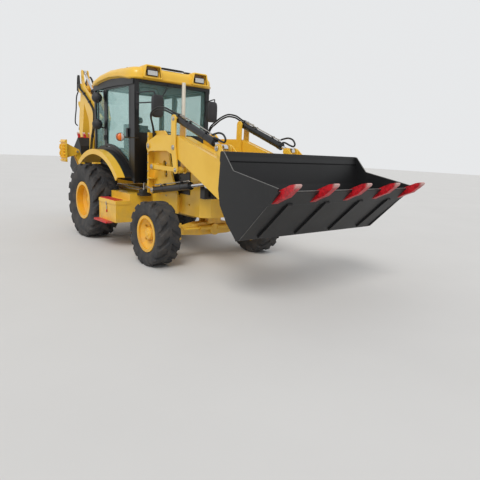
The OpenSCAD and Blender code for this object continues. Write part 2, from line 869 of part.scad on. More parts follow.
module arm_strips() {
  slab(arm_y - arm_in - 1, arm_y + arm_in + 1) {
    sheet([[1880, 1806], [2060, 1842], [2500, 1842], [2610, 1816], [3500, 1555], [4180, 1096]], arm_strip);
    sheet([[1860, 1634], [2280, 1646], [2490, 1582]], arm_strip);
    sheet([[3620, 1060], [4200, 878]], arm_strip);
  }
}

cross_tube = [3240, 1370];
module loader_arms() {
  color("gold") at_machine() {
    both() difference() {
      union() {
        twin(arm_y, arm_in, arm_out) arm_side_view();
        arm_strips();
        across(tip_pin, 62, arm_y - arm_out, arm_y + arm_out);
        across(lever_pin, 62, arm_y - arm_out, arm_y + arm_out);
        across(arm_pin, 66, arm_y - arm_out, arm_y + arm_out);
        across(bucket_pin, 66, arm_y - arm_out, arm_y + arm_out);
      }
      for (p = [arm_pin, lever_pin, tip_pin, bucket_pin])
        across(p, pin_r + pin_gap, arm_y - 200, arm_y + 200);
    }
    across(cross_tube, 70, -(arm_y - arm_out) - 1, arm_y - arm_out + 1);
  }
}

// Levers that keep the tilt rams level
module rear_levers() {
  color("gold") at_machine() both() {
    twin(arm_y, lever_in, lever_out) {
      bar(tilt_base, 56, lever_pin, 62);
      bar(lever_pin, 62, lever_foot, 54);
    }
    across(lever_pin, pin_r, arm_y - lever_out, arm_y + lever_out);
    across(tilt_base, pin_r - 4, arm_y - lever_out, arm_y + lever_out);
    across(lever_foot, pin_r - 4, arm_y - lever_out, arm_y + lever_out);
  }
}

module level_links() {
  color("gold") at_machine() both() difference() {
    slab(arm_y - eye_w / 2, arm_y + eye_w / 2) {
      bar(link_pin, 32, lever_foot, 32);
      disc(link_pin, 50);
      disc(lever_foot, 48);
    }
    across(link_pin, pin_r + pin_gap, arm_y - 100, arm_y + 100);
    across(lever_foot, pin_r - 4 + 1, arm_y - 100, arm_y + 100);
  }
}

module lift_barrels() {
  color("black") at_machine() both()
    barrel(lift_base, lift_eye, 1055, lift_barrel_r, lift_rod_r, pin_r, arm_y);
}

module lift_rods() {
  color("silver") at_machine() both()
    rod(lift_base, lift_eye, 330, lift_rod_r, 54, pin_r, arm_y);
}

module tilt_barrels() {
  color("black") at_machine() both()
    barrel(tilt_base, tip_top, 950, tilt_barrel_r, tilt_rod_r, pin_r - 4, arm_y);
}

module tilt_rods() {
  color("silver") at_machine() both()
    rod(tilt_base, tip_top, 120, tilt_rod_r, 50, pin_r - 4, arm_y);
}

// Levers and links that tip the bucket
link_in = lever_out + clear;
link_out = link_in + 16;
module tip_levers() {
  color("gold") at_machine() both() {
    twin(arm_y, lever_in, lever_out) bar(tip_pin, 66, tip_top, 54);
    across(tip_pin, pin_r, arm_y - lever_out, arm_y + lever_out);
    twin(arm_y, lever_in, link_out + 4) disc(tip_top, pin_r - 2);
  }
}

module tip_links() {
  color("gold") at_machine() both() difference() {
    twin(arm_y, link_in, link_out) bar(tip_top, 50, bucket_link, 46);
    across(tip_top, pin_r - 2 + pin_gap, arm_y - 200, arm_y + 200);
  }
}

// Bucket of the loader
bucket_back = [[4300, 1650], [4345, 1300], [4365, 1200], [4460, 980], [4600, 740]];
bucket_lip = [5180, 1300];
module loader_bucket() {
  half = bucket_w / 2;
  color("black") at_machine() {
    slab(-half, half) {
      sheet(bucket_back, bucket_t);
      sheet([bucket_back[4], bucket_lip], bucket_t);
      bar(toward(bucket_lip, bucket_back[4], 190), 14, bucket_lip, 10);
      bar([4292, 1640], 12, [4300, 1560], 26);
    }
    both() slab(half - bucket_t, half) polygon([
      [4292, 1650], [4330, 1650], [4500, 1462], [5190, 1335], [5180, 1290], [4640, 745],
      [4600, 735], [4430, 900], [4300, 1080], [4262, 1250], [4280, 1500]
    ]);
    both() difference() {
      union() {
        twin(arm_y, lever_in, lever_out) polygon([
          [4262, 885], [4110, 1240], [4125, 1300], [4200, 1330], [4345, 1330],
          [4368, 1200], [4462, 985], [4560, 815], [4390, 845]
        ]);
        across(bucket_pin, pin_r, arm_y - lever_out - 6, arm_y + lever_out + 6);
        twin(arm_y, lever_out - 1, lever_out + 6) disc(bucket_pin, 50);
        twin(arm_y, lever_in - 8, lever_out + 6) disc(bucket_link, 34);
      }
    }
    bucket_strips();
    for (i = [0 : bucket_teeth - 1]) {
      y = (i / (bucket_teeth - 1) - 0.5) * (bucket_w - 158);
      slab(y - 38, y + 38) polygon([
        [5075, 1180], [5167, 1226], [5253, 1262], [5315, 1316], tooth_tip + [-8, -20],
        tooth_tip, tooth_tip + [-14, 9], [5300, 1380], [5156, 1316], [5110, 1275], [5060, 1225]
      ]);
    }
  }
}

module bucket_strips() {
  for (y = [-870, -300, 300, 870]) slab(y - 35, y + 35)
    bar([4660, 775], 16, [5060, 1162], 16);
}

// Post that swings the digging arm
post_half = 150;
post_t = 30;
module swing_post() {
  color("gold") at_machine() difference() {
    union() {
      translate([swing_x, 0, hinge_z[0] + hinge_t + 3]) cylinder(r = 95, h = hinge_z[1] - hinge_z[0] - hinge_t - 6);
      translate([swing_x, 0, hinge_z[0]]) cylinder(r = hinge_pin_r - pin_gap, h = hinge_z[1] + hinge_t - hinge_z[0]);
      translate([-1790, -60, 740]) cube([290, 120, 140]);
      translate([-1800, -post_half - 1, 735]) cube([40, 2 * post_half + 2, 165]);
      both() slab(post_half, post_half + post_t) {
        polygon([
          [-1750, 735], [-1750, 950], [-1640, 960], [-1625, 1250], [-1760, 1340],
          [-1890, 1130], [-2015, 1060], [-2010, 970], [-1860, 735]
        ]);
        disc(boom_ram_base, 76);
        disc(boom_foot, 96);
      }
      across(boom_foot, hoe_pin_r + 8, -post_half - post_t - 8, post_half + post_t + 8);
      across(boom_ram_base, hoe_pin_r, -post_half - post_t - 8, post_half + post_t + 8);
    }
  }
}

// Boom of two plates with strips between them, open for its rams
boom_in = boom_half - boom_t;
module boom_side_view() {
  disc(boom_foot, 95);
  disc(stick_pin, 105);
  polygon([
    [-1868, 1050], [-1842, 1300], [-1785, 1720], [-1600, 2060], [-1550, 2300], [-1560, 2480],
    [-1640, 2570], [-2300, 2990], [-2450, 3005], [-2565, 2875], [-2360, 2860], [-2240, 2520],
    [-2040, 2260], [-1990, 2070], [-2010, 1700], [-2030, 1050]
  ]);
}

module boom() {
  color("gold") at_machine() difference() {
    union() {
      both() slab(boom_in, boom_half) boom_side_view();
      slab(-boom_in - 1, boom_in + 1) {
        sheet([[-2010, 1180], [-1995, 1700], [-1974, 2075], [-2025, 2268], [-2187, 2478]], 16);
        polygon([[-1928, 1220], [-1912, 1220], [-1872, 1620], [-1888, 1620]]);
        sheet([[-1660, 2300], [-1900, 2335], [-2080, 2500]], 16);
        disc(boom_foot, 70);
      }
      both() slab(45, boom_in + 1) disc(boom_ram_eye, 60);
      both() slab(stick_half + 3, boom_in + 1) disc(stick_pin, 75);
      both() slab(boom_in - 60, boom_in + 1) bar(stick_ram_base, 52, [-1640, 2330], 60);
      across(stick_ram_base, hoe_pin_r, -boom_half + 1, boom_half - 1);
      across(stick_pin, hoe_pin_r, -boom_half - 8, boom_half + 8);
    }
    across(boom_foot, hoe_pin_r + 8 + pin_gap, -500, 500);
  }
}

module boom_barrel() {
  color("black") at_machine()
    barrel(boom_ram_base, boom_ram_eye, 740, 48, 26, hoe_pin_r, 0);
}

module boom_rod() {
  color("silver") at_machine()
    rod(boom_ram_base, boom_ram_eye, 75, 26, 50, hoe_pin_r, 0);
}

// Stick with its ear for the ram
module stick() {
  color("gold") at_machine() {
    stick_body();
    across(hoe_ram_base, hoe_pin_r, -72, 72);
  }
}

module stick_body() {
  difference() {
    union() {
      slab(-stick_half, stick_half) {
        bar([-2545, 2700], 125, [-2625, 2300], 135);
        bar([-2625, 2300], 135, hoe_pin, 66);
        disc(stick_pin, 70);
      }
      both() slab(52, stick_half) bar(stick_pin, 118, [-2545, 2700], 125);
      both() slab(52, 72) bar(stick_pin, 90, stick_ram_eye, 52);
      both() slab(52, 72) bar(hoe_ram_base, 48, [-2650, 2500], 80);
      across(guide_pin, hoe_pin_r - 4, -stick_half - 32, stick_half + 32);
      across(hoe_pin, hoe_pin_r, -stick_half - 32, stick_half + 32);
    }
    across(stick_pin, hoe_pin_r + pin_gap, -500, 500);
    slab(-51, 51) translate([-3000, 2400]) square([270, 500]);
  }
}

module stick_barrel() {
  color("black") at_machine()
    barrel(stick_ram_base, stick_ram_eye, 875, 46, 24, hoe_pin_r, 0);
}

module stick_rod() {
  color("silver") at_machine()
    rod(stick_ram_base, stick_ram_eye, 700, 24, 46, hoe_pin_r, 0);
}

// Bucket of the digging arm
module hoe_bucket() {
  half = hoe_bucket_w / 2;
  w = hoe_pin;
  shell = [
    w + [450, 410], w + [595, 215], w + [640, 0], w + [555, -250], w + [320, -405],
    w + [50, -385], w + [-5, -320], w + [0, -210]
  ];
  cheek = concat([for (i = [0 : 5]) shell[i]], [w + [-105, -270], w + [-60, -120], w + [30, 60]]);
  ear_in = stick_half + 12;
  color("black") at_machine() {
    slab(-half, half) sheet(shell, hoe_bucket_t);
    both() slab(half - hoe_bucket_t, half) polygon(cheek);
    both() difference() {
      slab(ear_in, ear_in + 20) {
        disc(w, 62);
        disc(hoe_link_pin, 52);
        polygon([
          w + [-58, 20], w + [62, 10], w + [100, -200], w + [60, -380], w + [-105, -270],
          hoe_link_pin + [-50, 0]
        ]);
      }
      across(w, hoe_pin_r + pin_gap, 0, 500);
    }
    for (i = [0 : hoe_teeth - 1]) {
      y = (i / (hoe_teeth - 1) - 0.5) * (hoe_bucket_w - 28 - 50);
      slab(y - 25, y + 25) polygon([
        w + [480, 370], w + [430, 470], w + [356, 528], w + [350, 520], w + [400, 430], w + [440, 380]
      ]);
    }
  }
}

guide_in = stick_half + 12;
module hoe_guides() {
  color("gold") at_machine() difference() {
    union() {
      both() slab(guide_in, guide_in + 20) bar(guide_pin, 48, guide_eye, guide_eye_r - 2);
      both() across(guide_eye, hoe_pin_r - 2, guide_in + 1, guide_in + 50);
    }
    across(guide_pin, hoe_pin_r - 4 + pin_gap, -500, 500);
  }
}

module hoe_link() {
  color("gold") at_machine() difference() {
    both() slab(guide_in + 25, guide_in + 45) bar(guide_eye, guide_eye_r, hoe_link_pin, 48);
    across(guide_eye, hoe_pin_r - 2 + pin_gap, -500, 500);
  }
}

module hoe_barrel() {
  color("black") at_machine()
    barrel(hoe_ram_base, guide_eye, 620, 44, 24, hoe_pin_r, 0);
}

module hoe_rod() {
  color("silver") at_machine()
    rod(hoe_ram_base, guide_eye, 480, 24, 44, hoe_pin_r, 0);
}

// Stabilizer legs, drawn in a side view plane and turned across the machine
module in_leg_plane() {
  translate([leg_x, 0, 0]) rotate([0, 0, 90]) children();
}

pad_x = 1060;
module stabilizer() {
  half = leg_t / 2;
  in_leg_plane() {
    both() slab(half - 14, half) bar(leg_pivot, 66, leg_foot, 56);
    slab(-half + 13, half - 13) bar(polar(leg_pivot, 740, leg_angle), 40, leg_foot, 40);
    across(leg_pivot, hoe_pin_r, -170, 170);
    slab(-150, 150) {
      translate([pad_x - 24, 1320]) square([24, 430]);
      for (z = [1330 : 60 : 1700]) polygon([[pad_x - 1, z], [pad_x + 34, z + 20], [pad_x - 1, z + 40]]);
    }
    both() slab(half, half + 18) {
      bar(leg_foot, 52, [pad_x - 20, 1480], 80);
      bar(leg_foot, 52, [pad_x - 20, 1600], 80);
    }
    across(leg_foot, 26, -half - 30, half + 30);
  }
}

module stabilizer_right() {
  color("gold") at_machine() on_right() stabilizer();
}

module stabilizer_left() {
  color("gold") at_machine() stabilizer();
}

module leg_barrel_right() {
  color("black") at_machine() on_right() in_leg_plane()
    barrel(leg_ram_base, leg_ram_eye, 500, 34, 18, 20, 0);
}

module leg_barrel_left() {
  color("black") at_machine() in_leg_plane()
    barrel(leg_ram_base, leg_ram_eye, 500, 34, 18, 20, 0);
}

module leg_rod_right() {
  color("silver") at_machine() on_right() in_leg_plane()
    rod(leg_ram_base, leg_ram_eye, 55, 18, 34, 20, 0);
}

module leg_rod_left() {
  color("silver") at_machine() in_leg_plane()
    rod(leg_ram_base, leg_ram_eye, 55, 18, 34, 20, 0);
}

chassis();
loader_towers();
rear_frame();
rear_axle();
front_axle();
engine();
hood();
grille();
exhaust();
side_boxes();
fenders();
cab_frame();
roof();
lamps();
windows();
seat_and_console();
mirrors();
door_right();
door_left();
door_glass_right();
door_glass_left();
rear_tyre_right();
rear_tyre_left();
rear_rim_right();
rear_rim_left();
front_tyre_right();
front_tyre_left();
front_rim_right();
front_rim_left();
knuckle_right();
knuckle_left();
loader_arms();
rear_levers();
level_links();
lift_barrels();
lift_rods();
tilt_barrels();
tilt_rods();
tip_levers();
tip_links();
loader_bucket();
swing_post();
boom();
boom_barrel();
boom_rod();
stick();
stick_barrel();
stick_rod();
hoe_bucket();
hoe_guides();
hoe_link();
hoe_barrel();
hoe_rod();
stabilizer_right();
stabilizer_left();
leg_barrel_right();
leg_barrel_left();
leg_rod_right();
leg_rod_left();
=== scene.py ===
# %% [markdown]
# # A backhoe loader, dressed in Blender
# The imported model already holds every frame, arm and cylinder at its real size. This notebook gives
# those solids their paint, rubber and glass, and adds the forms that a drawing leaves out: tyre treads,
# hoses, lamps, bolts and worn edges. Every number is in metres: +X is forward, +Y is the machine's
# left, +Z is up, and the wheels stand on z = 0.

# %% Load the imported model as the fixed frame
import math

import bmesh
import bpy
import numpy as np
from mathutils import Matrix


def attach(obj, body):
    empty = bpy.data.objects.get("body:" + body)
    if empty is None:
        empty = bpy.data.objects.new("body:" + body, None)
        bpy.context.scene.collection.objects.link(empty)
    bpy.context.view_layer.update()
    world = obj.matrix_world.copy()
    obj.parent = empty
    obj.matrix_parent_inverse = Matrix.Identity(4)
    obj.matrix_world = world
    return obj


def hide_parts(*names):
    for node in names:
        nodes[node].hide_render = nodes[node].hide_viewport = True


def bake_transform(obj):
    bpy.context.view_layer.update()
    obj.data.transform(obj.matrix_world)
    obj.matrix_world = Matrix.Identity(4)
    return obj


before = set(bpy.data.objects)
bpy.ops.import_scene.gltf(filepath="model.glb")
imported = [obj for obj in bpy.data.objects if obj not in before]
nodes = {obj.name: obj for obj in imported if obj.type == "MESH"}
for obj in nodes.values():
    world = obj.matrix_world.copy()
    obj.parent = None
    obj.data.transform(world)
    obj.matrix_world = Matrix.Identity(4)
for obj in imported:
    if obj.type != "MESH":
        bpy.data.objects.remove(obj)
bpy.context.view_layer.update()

# %% [markdown]
# ## Where things are
# Side views are drawn with x counted forward from the rear axle, as on a maker's drawing, but the
# model's origin lies under the middle of its length. Shapes below are drawn in drawing points, which
# move back together when a shape becomes a piece, so each measure can be read off the drawing.

# %% From drawing points to model points
REAR_AXLE_BACK = 1.164
SIDES = (("left", 1), ("right", -1))


def at(x, y, z):
    """Model point of a drawing point: x moves back by the distance from origin to rear axle."""
    return x - REAR_AXLE_BACK, y, z


print("rear axle stands at x =", -REAR_AXLE_BACK)

# %% [markdown]
# ## The camera
# A photograph fixes where its camera stood: its place, its three angles and its lens were solved from
# the wheels, the frame edges and the lamps. Looking along azimuth a and pitch e, forward is
# (-sin a cos e, cos a cos e, -sin e); a small roll then turns right and up about it.

# %% Set the camera where the photograph was taken
AZIMUTH, PITCH, ROLL = (math.radians(d) for d in (50.1593, 11.0445, 2.5491))
FOCAL_PIXELS, PICTURE_PIXELS, SENSOR = 449.2921, 480, 36.0
CAMERA_PLACE = at(8.1834, -4.0952, 1.6545)


def camera_axes(azimuth, pitch, roll):
    """Right, up and forward unit vectors of a camera with that azimuth, downward pitch and roll."""
    forward = np.array([-math.sin(azimuth) * math.cos(pitch), math.cos(azimuth) * math.cos(pitch),
                        -math.sin(pitch)])
    level = np.array([math.cos(azimuth), math.sin(azimuth), 0])
    above = np.cross(level, forward)
    right = math.cos(roll) * level + math.sin(roll) * above
    up = -math.sin(roll) * level + math.cos(roll) * above
    return right, up, forward


camera_data = bpy.data.cameras.new("camera")
camera_data.lens = FOCAL_PIXELS * SENSOR / PICTURE_PIXELS
camera_data.sensor_width = SENSOR
camera = bpy.data.objects.new("camera", camera_data)
bpy.context.scene.collection.objects.link(camera)
right, up, forward = camera_axes(AZIMUTH, PITCH, ROLL)
turn = np.eye(4)
turn[:3, 0], turn[:3, 1], turn[:3, 2] = right, up, -forward
turn[:3, 3] = CAMERA_PLACE
camera.matrix_world = Matrix(turn.tolist())
bpy.context.scene.camera = camera
print("lens", round(camera_data.lens, 2), "mm")

# %% [markdown]
# ## Shader maths written as expressions
# Wiring Math nodes by hand hides the idea. A small class wraps a socket and gives it the usual
# operators, so `1 - dust * 0.4` adds the nodes it needs. Colours don't go through Math nodes, which
# would turn them grey: they are blended by a Mix node.

# %% A socket that can be added, multiplied and compared
class Wire:
    """An output socket in a material's tree, with arithmetic that adds Math nodes."""

    def __init__(self, paint, socket):
        self.paint, self.socket = paint, socket

    def _math(self, operation, a, b=0.0):
        return self.paint.node("ShaderNodeMath", {"operation": operation}, {0: a, 1: b})

    def __add__(self, other): return self._math("ADD", self, other)
    def __radd__(self, other): return self._math("ADD", other, self)
    def __sub__(self, other): return self._math("SUBTRACT", self, other)
    def __rsub__(self, other): return self._math("SUBTRACT", other, self)
    def __mul__(self, other): return self._math("MULTIPLY", self, other)
    def __gt__(self, other): return self._math("GREATER_THAN", self, other)
    def __lt__(self, other): return self._math("LESS_THAN", self, other)

    def abs(self): return self._math("ABSOLUTE", self)
    def low(self, other): return self._math("MINIMUM", self, other)
    def high(self, other): return self._math("MAXIMUM", self, other)

    def step(self, start, end):
        """0 before start, 1 after end, and smooth between them."""
        return self.paint.node(
            "ShaderNodeMapRange", {"interpolation_type": "SMOOTHSTEP"},
            {"Value": self, "From Min": start, "From Max": end})


class Paint:
    """A material whose nodes are added by calls, with one Principled shader at its end."""

    def __init__(self, name, **finish):
        self.material = bpy.data.materials.new(name)
        self.material.use_nodes = True
        self.tree = self.material.node_tree
        self.shader = self.tree.nodes["Principled BSDF"]
        place = self.tree.nodes.new("ShaderNodeTexCoord")
        self.place = Wire(self, place.outputs["Object"])
        self.x, self.y, self.z = self.split(self.place)
        for socket, value in finish.items():
            self.shader.inputs[socket.replace("_", " ")].default_value = value

    def node(self, kind, settings=None, inputs=None, output=0):
        """A node of any kind: its settings first, then the values or wires of its inputs."""
        node = self.tree.nodes.new(kind)
        for key, value in (settings or {}).items():
            setattr(node, key, value)
        for key, value in (inputs or {}).items():
            if isinstance(value, Wire):
                self.tree.links.new(value.socket, node.inputs[key])
            elif node.inputs[key].type == "RGBA":
                node.inputs[key].default_value = (*value, 1)
            else:
                node.inputs[key].default_value = value
        return Wire(self, node.outputs[output])

    def split(self, wire):
        """The x, y and z of a vector, each as a wire."""
        node = self.tree.nodes.new("ShaderNodeSeparateXYZ")
        self.tree.links.new(wire.socket, node.inputs[0])
        return [Wire(self, out) for out in node.outputs]

    def noise(self, scale, detail=3.0, stretch=(1, 1, 1), roughness=0.55):
        """Cloudy noise, so many lumps a metre, stretched along an axis where asked."""
        spot = self.node("ShaderNodeMapping", {}, {"Vector": self.place, "Scale": stretch})
        return self.node("ShaderNodeTexNoise", {}, {
            "Vector": spot, "Scale": scale, "Detail": detail, "Roughness": roughness})

    def mix(self, share, a, b):
        """Colour a where share is 0, b where it is 1."""
        return self.node("ShaderNodeMix", {"data_type": "RGBA"}, {0: share, 6: a, 7: b}, output=2)

    def bump(self, height, strength, distance=0.002):
        """A normal tilted by the slope of a height."""
        return self.node("ShaderNodeBump", {}, {
            "Height": height, "Strength": strength, "Distance": distance})

    def finish(self, **sockets):
        """Joins wires to the shader's sockets and gives back the material."""
        for socket, value in sockets.items():
            self.tree.links.new(value.socket, self.shader.inputs[socket.replace("_", " ")])
        return self.material


def tone(r, g, b):
    """Linear colour of a screen colour given as 0 to 255: the screen's curve is undone."""
    share = np.array([r, g, b]) / 255
    linear = np.where(share <= 0.04045, share / 12.92, ((share + 0.055) / 1.055) ** 2.4)
    return tuple(linear.tolist())


print("shader helpers ready")

# %% [markdown]
# ## Machine paint
# The yellow is one thick coat sprayed over welded plate: nearly even, a little darker where it is
# thin, with the faint waviness called orange peel, and a film of yard dust on whatever lies low.
# Dust is a smooth step in height times cloudy noise, so the same paint serves roof and frame.

# %% Yellow paint for the body, and a warmer one for rims
DUST = tone(150, 138, 118)
CHIP = tone(96, 84, 66)


def body_paint(name, colour, shade, dust_top=1.1, dust_amount=0.30, black=None):
    """Sprayed paint: two close tones by large noise, dust below dust_top, fine waves as bump.
    black(paint) gives 1 where the coat is painted black instead."""
    paint = Paint(name, Roughness=0.34, Coat_Weight=0.25, Coat_Roughness=0.12)
    cloud = paint.noise(2.2, 4)
    grit = paint.noise(38, 5)
    base = paint.mix(cloud.step(0.35, 0.7), colour, shade)
    speck = (grit > 0.735) * (paint.noise(5, 2) > 0.52) * 0.55
    base = paint.mix(speck, base, CHIP)
    if black:
        base = paint.mix(black(paint), base, tone(24, 24, 26))
    low = 1 - paint.z.step(0.15, dust_top)
    dust = low * paint.noise(9, 5).step(0.32, 0.72) * dust_amount
    base = paint.mix(dust, base, DUST)
    return paint.finish(
        Base_Color=base,
        Roughness=(0.30 + cloud * 0.12 + dust * 1.1).low(0.9),
        Normal=paint.bump(paint.noise(150, 2) * 0.4 + cloud * 0.6, 0.10))


COAT, COAT_SHADE = tone(240, 192, 60), tone(233, 183, 50)
yellow = body_paint("yellow_paint", COAT, COAT_SHADE)
rim_yellow = body_paint("rim_paint", tone(240, 182, 40), tone(230, 168, 34), 0.9, 0.35)
NOSE_X, NOSE_TOP = 2.84 - REAR_AXLE_BACK, 1.365
LOUVRE_X, LOUVRE_Y, LOUVRE_TOP = 2.30 - REAR_AXLE_BACK, 0.405, 1.60
FENDER_FRONT, FENDER_INNER = 0.10 - REAR_AXLE_BACK, 0.835
# The hood's coat is painted black at its front below NOSE_TOP, and on its sides behind LOUVRE_X below
# LOUVRE_TOP.
hood_yellow = body_paint(
    "hood_paint", COAT, COAT_SHADE,
    black=lambda p: ((p.x > NOSE_X) * (p.z < NOSE_TOP)).high(
        (p.y.abs() > LOUVRE_Y) * (p.x < LOUVRE_X) * (p.z < LOUVRE_TOP)))
fender_yellow = body_paint(
    "fender_paint", COAT, COAT_SHADE,
    black=lambda p: (p.y.abs() < FENDER_INNER) * (p.x > FENDER_FRONT))
print("paints:", yellow.name, rim_yellow.name, hood_yellow.name, fender_yellow.name)

# %% [markdown]
# ## Black paint and bare plate
# The bucket and the cab frame wear a satin black that greys where dust settles and where soil has
# polished it. Long stretched noise across the bucket gives the drag marks of loading.

# %% Satin black, cast black and worn plate
def black_paint(name, colour, worn, gloss, marks=0.0, stretch=(1, 1, 1)):
    """Black coat: cloudy tone, thin pale scratches of stretched noise, dust low down."""
    paint = Paint(name, Roughness=gloss)
    cloud = paint.noise(3.0, 5)
    scratch = paint.noise(34, 6, stretch, 0.7)
    low = 1 - paint.z.step(0.1, 1.5)
    share = (scratch.step(0.58, 0.80) * marks + low * cloud.step(0.3, 0.75) * 0.16).low(1.0)
    return paint.finish(
        Base_Color=paint.mix(share, colour, worn),
        Roughness=(gloss + cloud * 0.14 + share * 0.25).low(0.95),
        Normal=paint.bump(paint.noise(120, 3) * 0.5 + scratch * 0.5, 0.14))


cab_black = black_paint("cab_black", tone(14, 15, 17), tone(62, 60, 58), 0.30)
cylinder_black = black_paint("cylinder_black", tone(18, 19, 22), tone(66, 64, 62), 0.22)
cast_black = black_paint("cast_black", tone(36, 35, 35), tone(104, 95, 82), 0.55, 0.25)
print("blacks ready")

# %% [markdown]
# ## The loader bucket and its teeth
# The solid holds the shell and the teeth in one piece, so one material tells them apart by place:
# teeth are what lies ahead of the lip. Real teeth are dipped in red and worn to bare steel at the tip.

# %% Bucket black with red teeth, by region
RED = tone(196, 22, 34)
RED_SHADE = tone(150, 12, 24)
TIP_STEEL = tone(205, 190, 182)


def toothed_black(name, is_tooth, is_tip, marks, stretch):
    """Black plate whose tooth region turns red, and whose tips turn to pale steel."""
    paint = Paint(name)
    cloud = paint.noise(2.4, 5)
    scratch = paint.noise(26, 6, stretch, 0.72)
    worn = (scratch.step(0.56, 0.82) * marks + cloud.step(0.45, 0.8) * 0.10).low(1.0)
    plate = paint.mix(worn, tone(15, 16, 18), tone(58, 56, 54))
    tooth, tip = is_tooth(paint), is_tip(paint)
    red = paint.mix(paint.noise(30, 3).step(0.4, 0.65), RED, RED_SHADE)
    red = paint.mix(tip, red, TIP_STEEL)
    return paint.finish(
        Base_Color=paint.mix(tooth, plate, red),
        Roughness=0.42 + cloud * 0.16 + worn * 0.12 - tooth * 0.12,
        Normal=paint.bump(paint.noise(90, 4) * 0.5 + scratch * 0.5, 0.16))


LIP_X = 5.075 - REAR_AXLE_BACK
TIP_X = 5.385 - REAR_AXLE_BACK
BUCKET_WIDTH, OUTER_TOOTH_INSET, TEETH, TOOTH_WIDTH = 2.330, 0.079, 5, 0.090
TOOTH_PITCH = (BUCKET_WIDTH - 2 * OUTER_TOOTH_INSET) / (TEETH - 1)


def near_teeth(paint, pitch, width):
    """1 within a tooth's width of the nearest tooth line, which come every pitch across."""
    row = paint.node("ShaderNodeMath", {"operation": "PINGPONG"}, {0: paint.y, 1: pitch / 2})
    return row < width / 2


bucket_black = toothed_black(
    "bucket_black",
    lambda p: (p.x > LIP_X) * near_teeth(p, TOOTH_PITCH, TOOTH_WIDTH),
    lambda p: p.x.step(TIP_X - 0.05, TIP_X + 0.02),
    0.35, (0.35, 6, 0.35))
print("teeth every", round(TOOTH_PITCH, 3), "m")

# %% [markdown]
# The digging bucket's teeth sit at its mouth, which faces forward while the arm is folded.

# %% Digging bucket black
HOE_PIN_X, HOE_PIN_Z = -2.750 - REAR_AXLE_BACK, 1.420
hoe_black = toothed_black(
    "hoe_black",
    lambda p: (p.z > HOE_PIN_Z + 0.405) * (p.x > HOE_PIN_X + 0.30),
    lambda p: p.z.step(HOE_PIN_Z + 0.475, HOE_PIN_Z + 0.52),
    0.30, (4, 0.5, 0.5))
print("digging bucket ready")

# %% [markdown]
# ## Steps in red
# The boxes under the cab are yellow and their treads red, and both are one solid too.

# %% Box paint with red treads
TOOLBOX_SIDE, TOOLBOX_TOP, STEP_TOP = 1.0655, 0.8003, 0.470
STEP_SIDE, BOX_FOOT, TREAD_SIDE = 0.935, 0.4495, 0.900


def box_paint():
    """Body paint, red on the step outside and under the toolbox and on the tread over it."""
    paint = Paint("box_paint", Roughness=0.36, Coat_Weight=0.2, Coat_Roughness=0.15)
    cloud = paint.noise(2.2, 4)
    side = paint.y.abs()
    outside = (side > TOOLBOX_SIDE) * (paint.z < STEP_TOP)
    under = (side > STEP_SIDE) * (paint.z < BOX_FOOT)
    over = (side > TREAD_SIDE) * (paint.z > TOOLBOX_TOP)
    tread = outside.high(under).high(over)
    yellow_coat = paint.mix(cloud.step(0.35, 0.7), COAT, COAT_SHADE)
    red_coat = paint.mix(paint.noise(40, 4).step(0.5, 0.72), tone(206, 24, 34), tone(120, 26, 28))
    dust = (1 - paint.z.step(0.2, 1.1)) * paint.noise(9, 5).step(0.32, 0.72) * 0.34
    colour = paint.mix(dust, paint.mix(tread, yellow_coat, red_coat), DUST)
    return paint.finish(Base_Color=colour, Roughness=0.34 + dust * 0.9 + tread * 0.2,
                        Normal=paint.bump(paint.noise(140, 2), 0.08))


step_paint = box_paint()
print("box paint ready")

# %% [markdown]
# ## Rubber, chrome, glass and lamps
# Rubber is never black: it is a dark grey that dust turns brown in its hollows. Hard chrome is a
# mirror with a trace of oil. Cab glass is tinted aqua and mostly clear, so it mixes a see-through
# shader with a glossy one by how steeply it is seen.

# %% Tyre rubber and hard chrome
def rubber():
    """Dark grey with brown dust in broad clouds, and a fine grain as bump."""
    paint = Paint("tyre_rubber", Roughness=0.72)
    cloud = paint.noise(7, 6)
    grain = paint.noise(110, 4)
    colour = paint.mix(cloud.step(0.38, 0.74) * 0.55, tone(44, 44, 46), tone(88, 82, 76))
    return paint.finish(Base_Color=colour, Roughness=0.62 + cloud * 0.24,
                        Normal=paint.bump(grain * 0.5 + cloud * 0.5, 0.22))


def chrome():
    """A bright mirror that a film of oil dulls here and there."""
    paint = Paint("rod_chrome", Metallic=1.0)
    film = paint.noise(14, 4)
    return paint.finish(Base_Color=paint.mix(film, tone(226, 226, 228), tone(196, 198, 202)),
                        Roughness=0.10 + film * 0.14)


def steel(name, light, dark, shine):
    """Metal in two close tones, rougher where it is darker."""
    paint = Paint(name, Metallic=0.85)
    film = paint.noise(30, 5)
    return paint.finish(Base_Color=paint.mix(film, light, dark), Roughness=shine + film * 0.2,
                        Normal=paint.bump(film, 0.08))


tyre_rubber = rubber()
rod_chrome = chrome()
zinc = steel("zinc_steel", tone(196, 192, 184), tone(150, 146, 138), 0.30)
exhaust_metal = steel("exhaust_metal", tone(236, 230, 216), tone(212, 204, 188), 0.42)
print("rubber and metals ready")

# %% Cab glass
def glass(name, tint, clear):
    """A clear share of Transparent mixed with a tinted gloss, more gloss at grazing angles."""
    paint = Paint(name, Roughness=0.03, Base_Color=(*tint, 1))
    film = paint.noise(3, 4)
    gloss = paint.node("ShaderNodeLayerWeight", {}, {"Blend": 0.30}, output="Facing")
    share = (1 - clear + gloss * 0.45 + film.step(0.45, 0.8) * 0.06).low(1.0)
    see = paint.node("ShaderNodeBsdfTransparent", {}, {"Color": (0.93, 0.985, 0.975)})
    shine = Wire(paint, paint.shader.outputs[0])
    both = paint.node("ShaderNodeMixShader", {}, {0: share, 1: see, 2: shine})
    end = paint.tree.nodes["Material Output"]
    paint.tree.links.new(both.socket, end.inputs["Surface"])
    return paint.material


cab_glass = glass("window_glass", tone(150, 190, 186), 0.90)
print("glass ready")

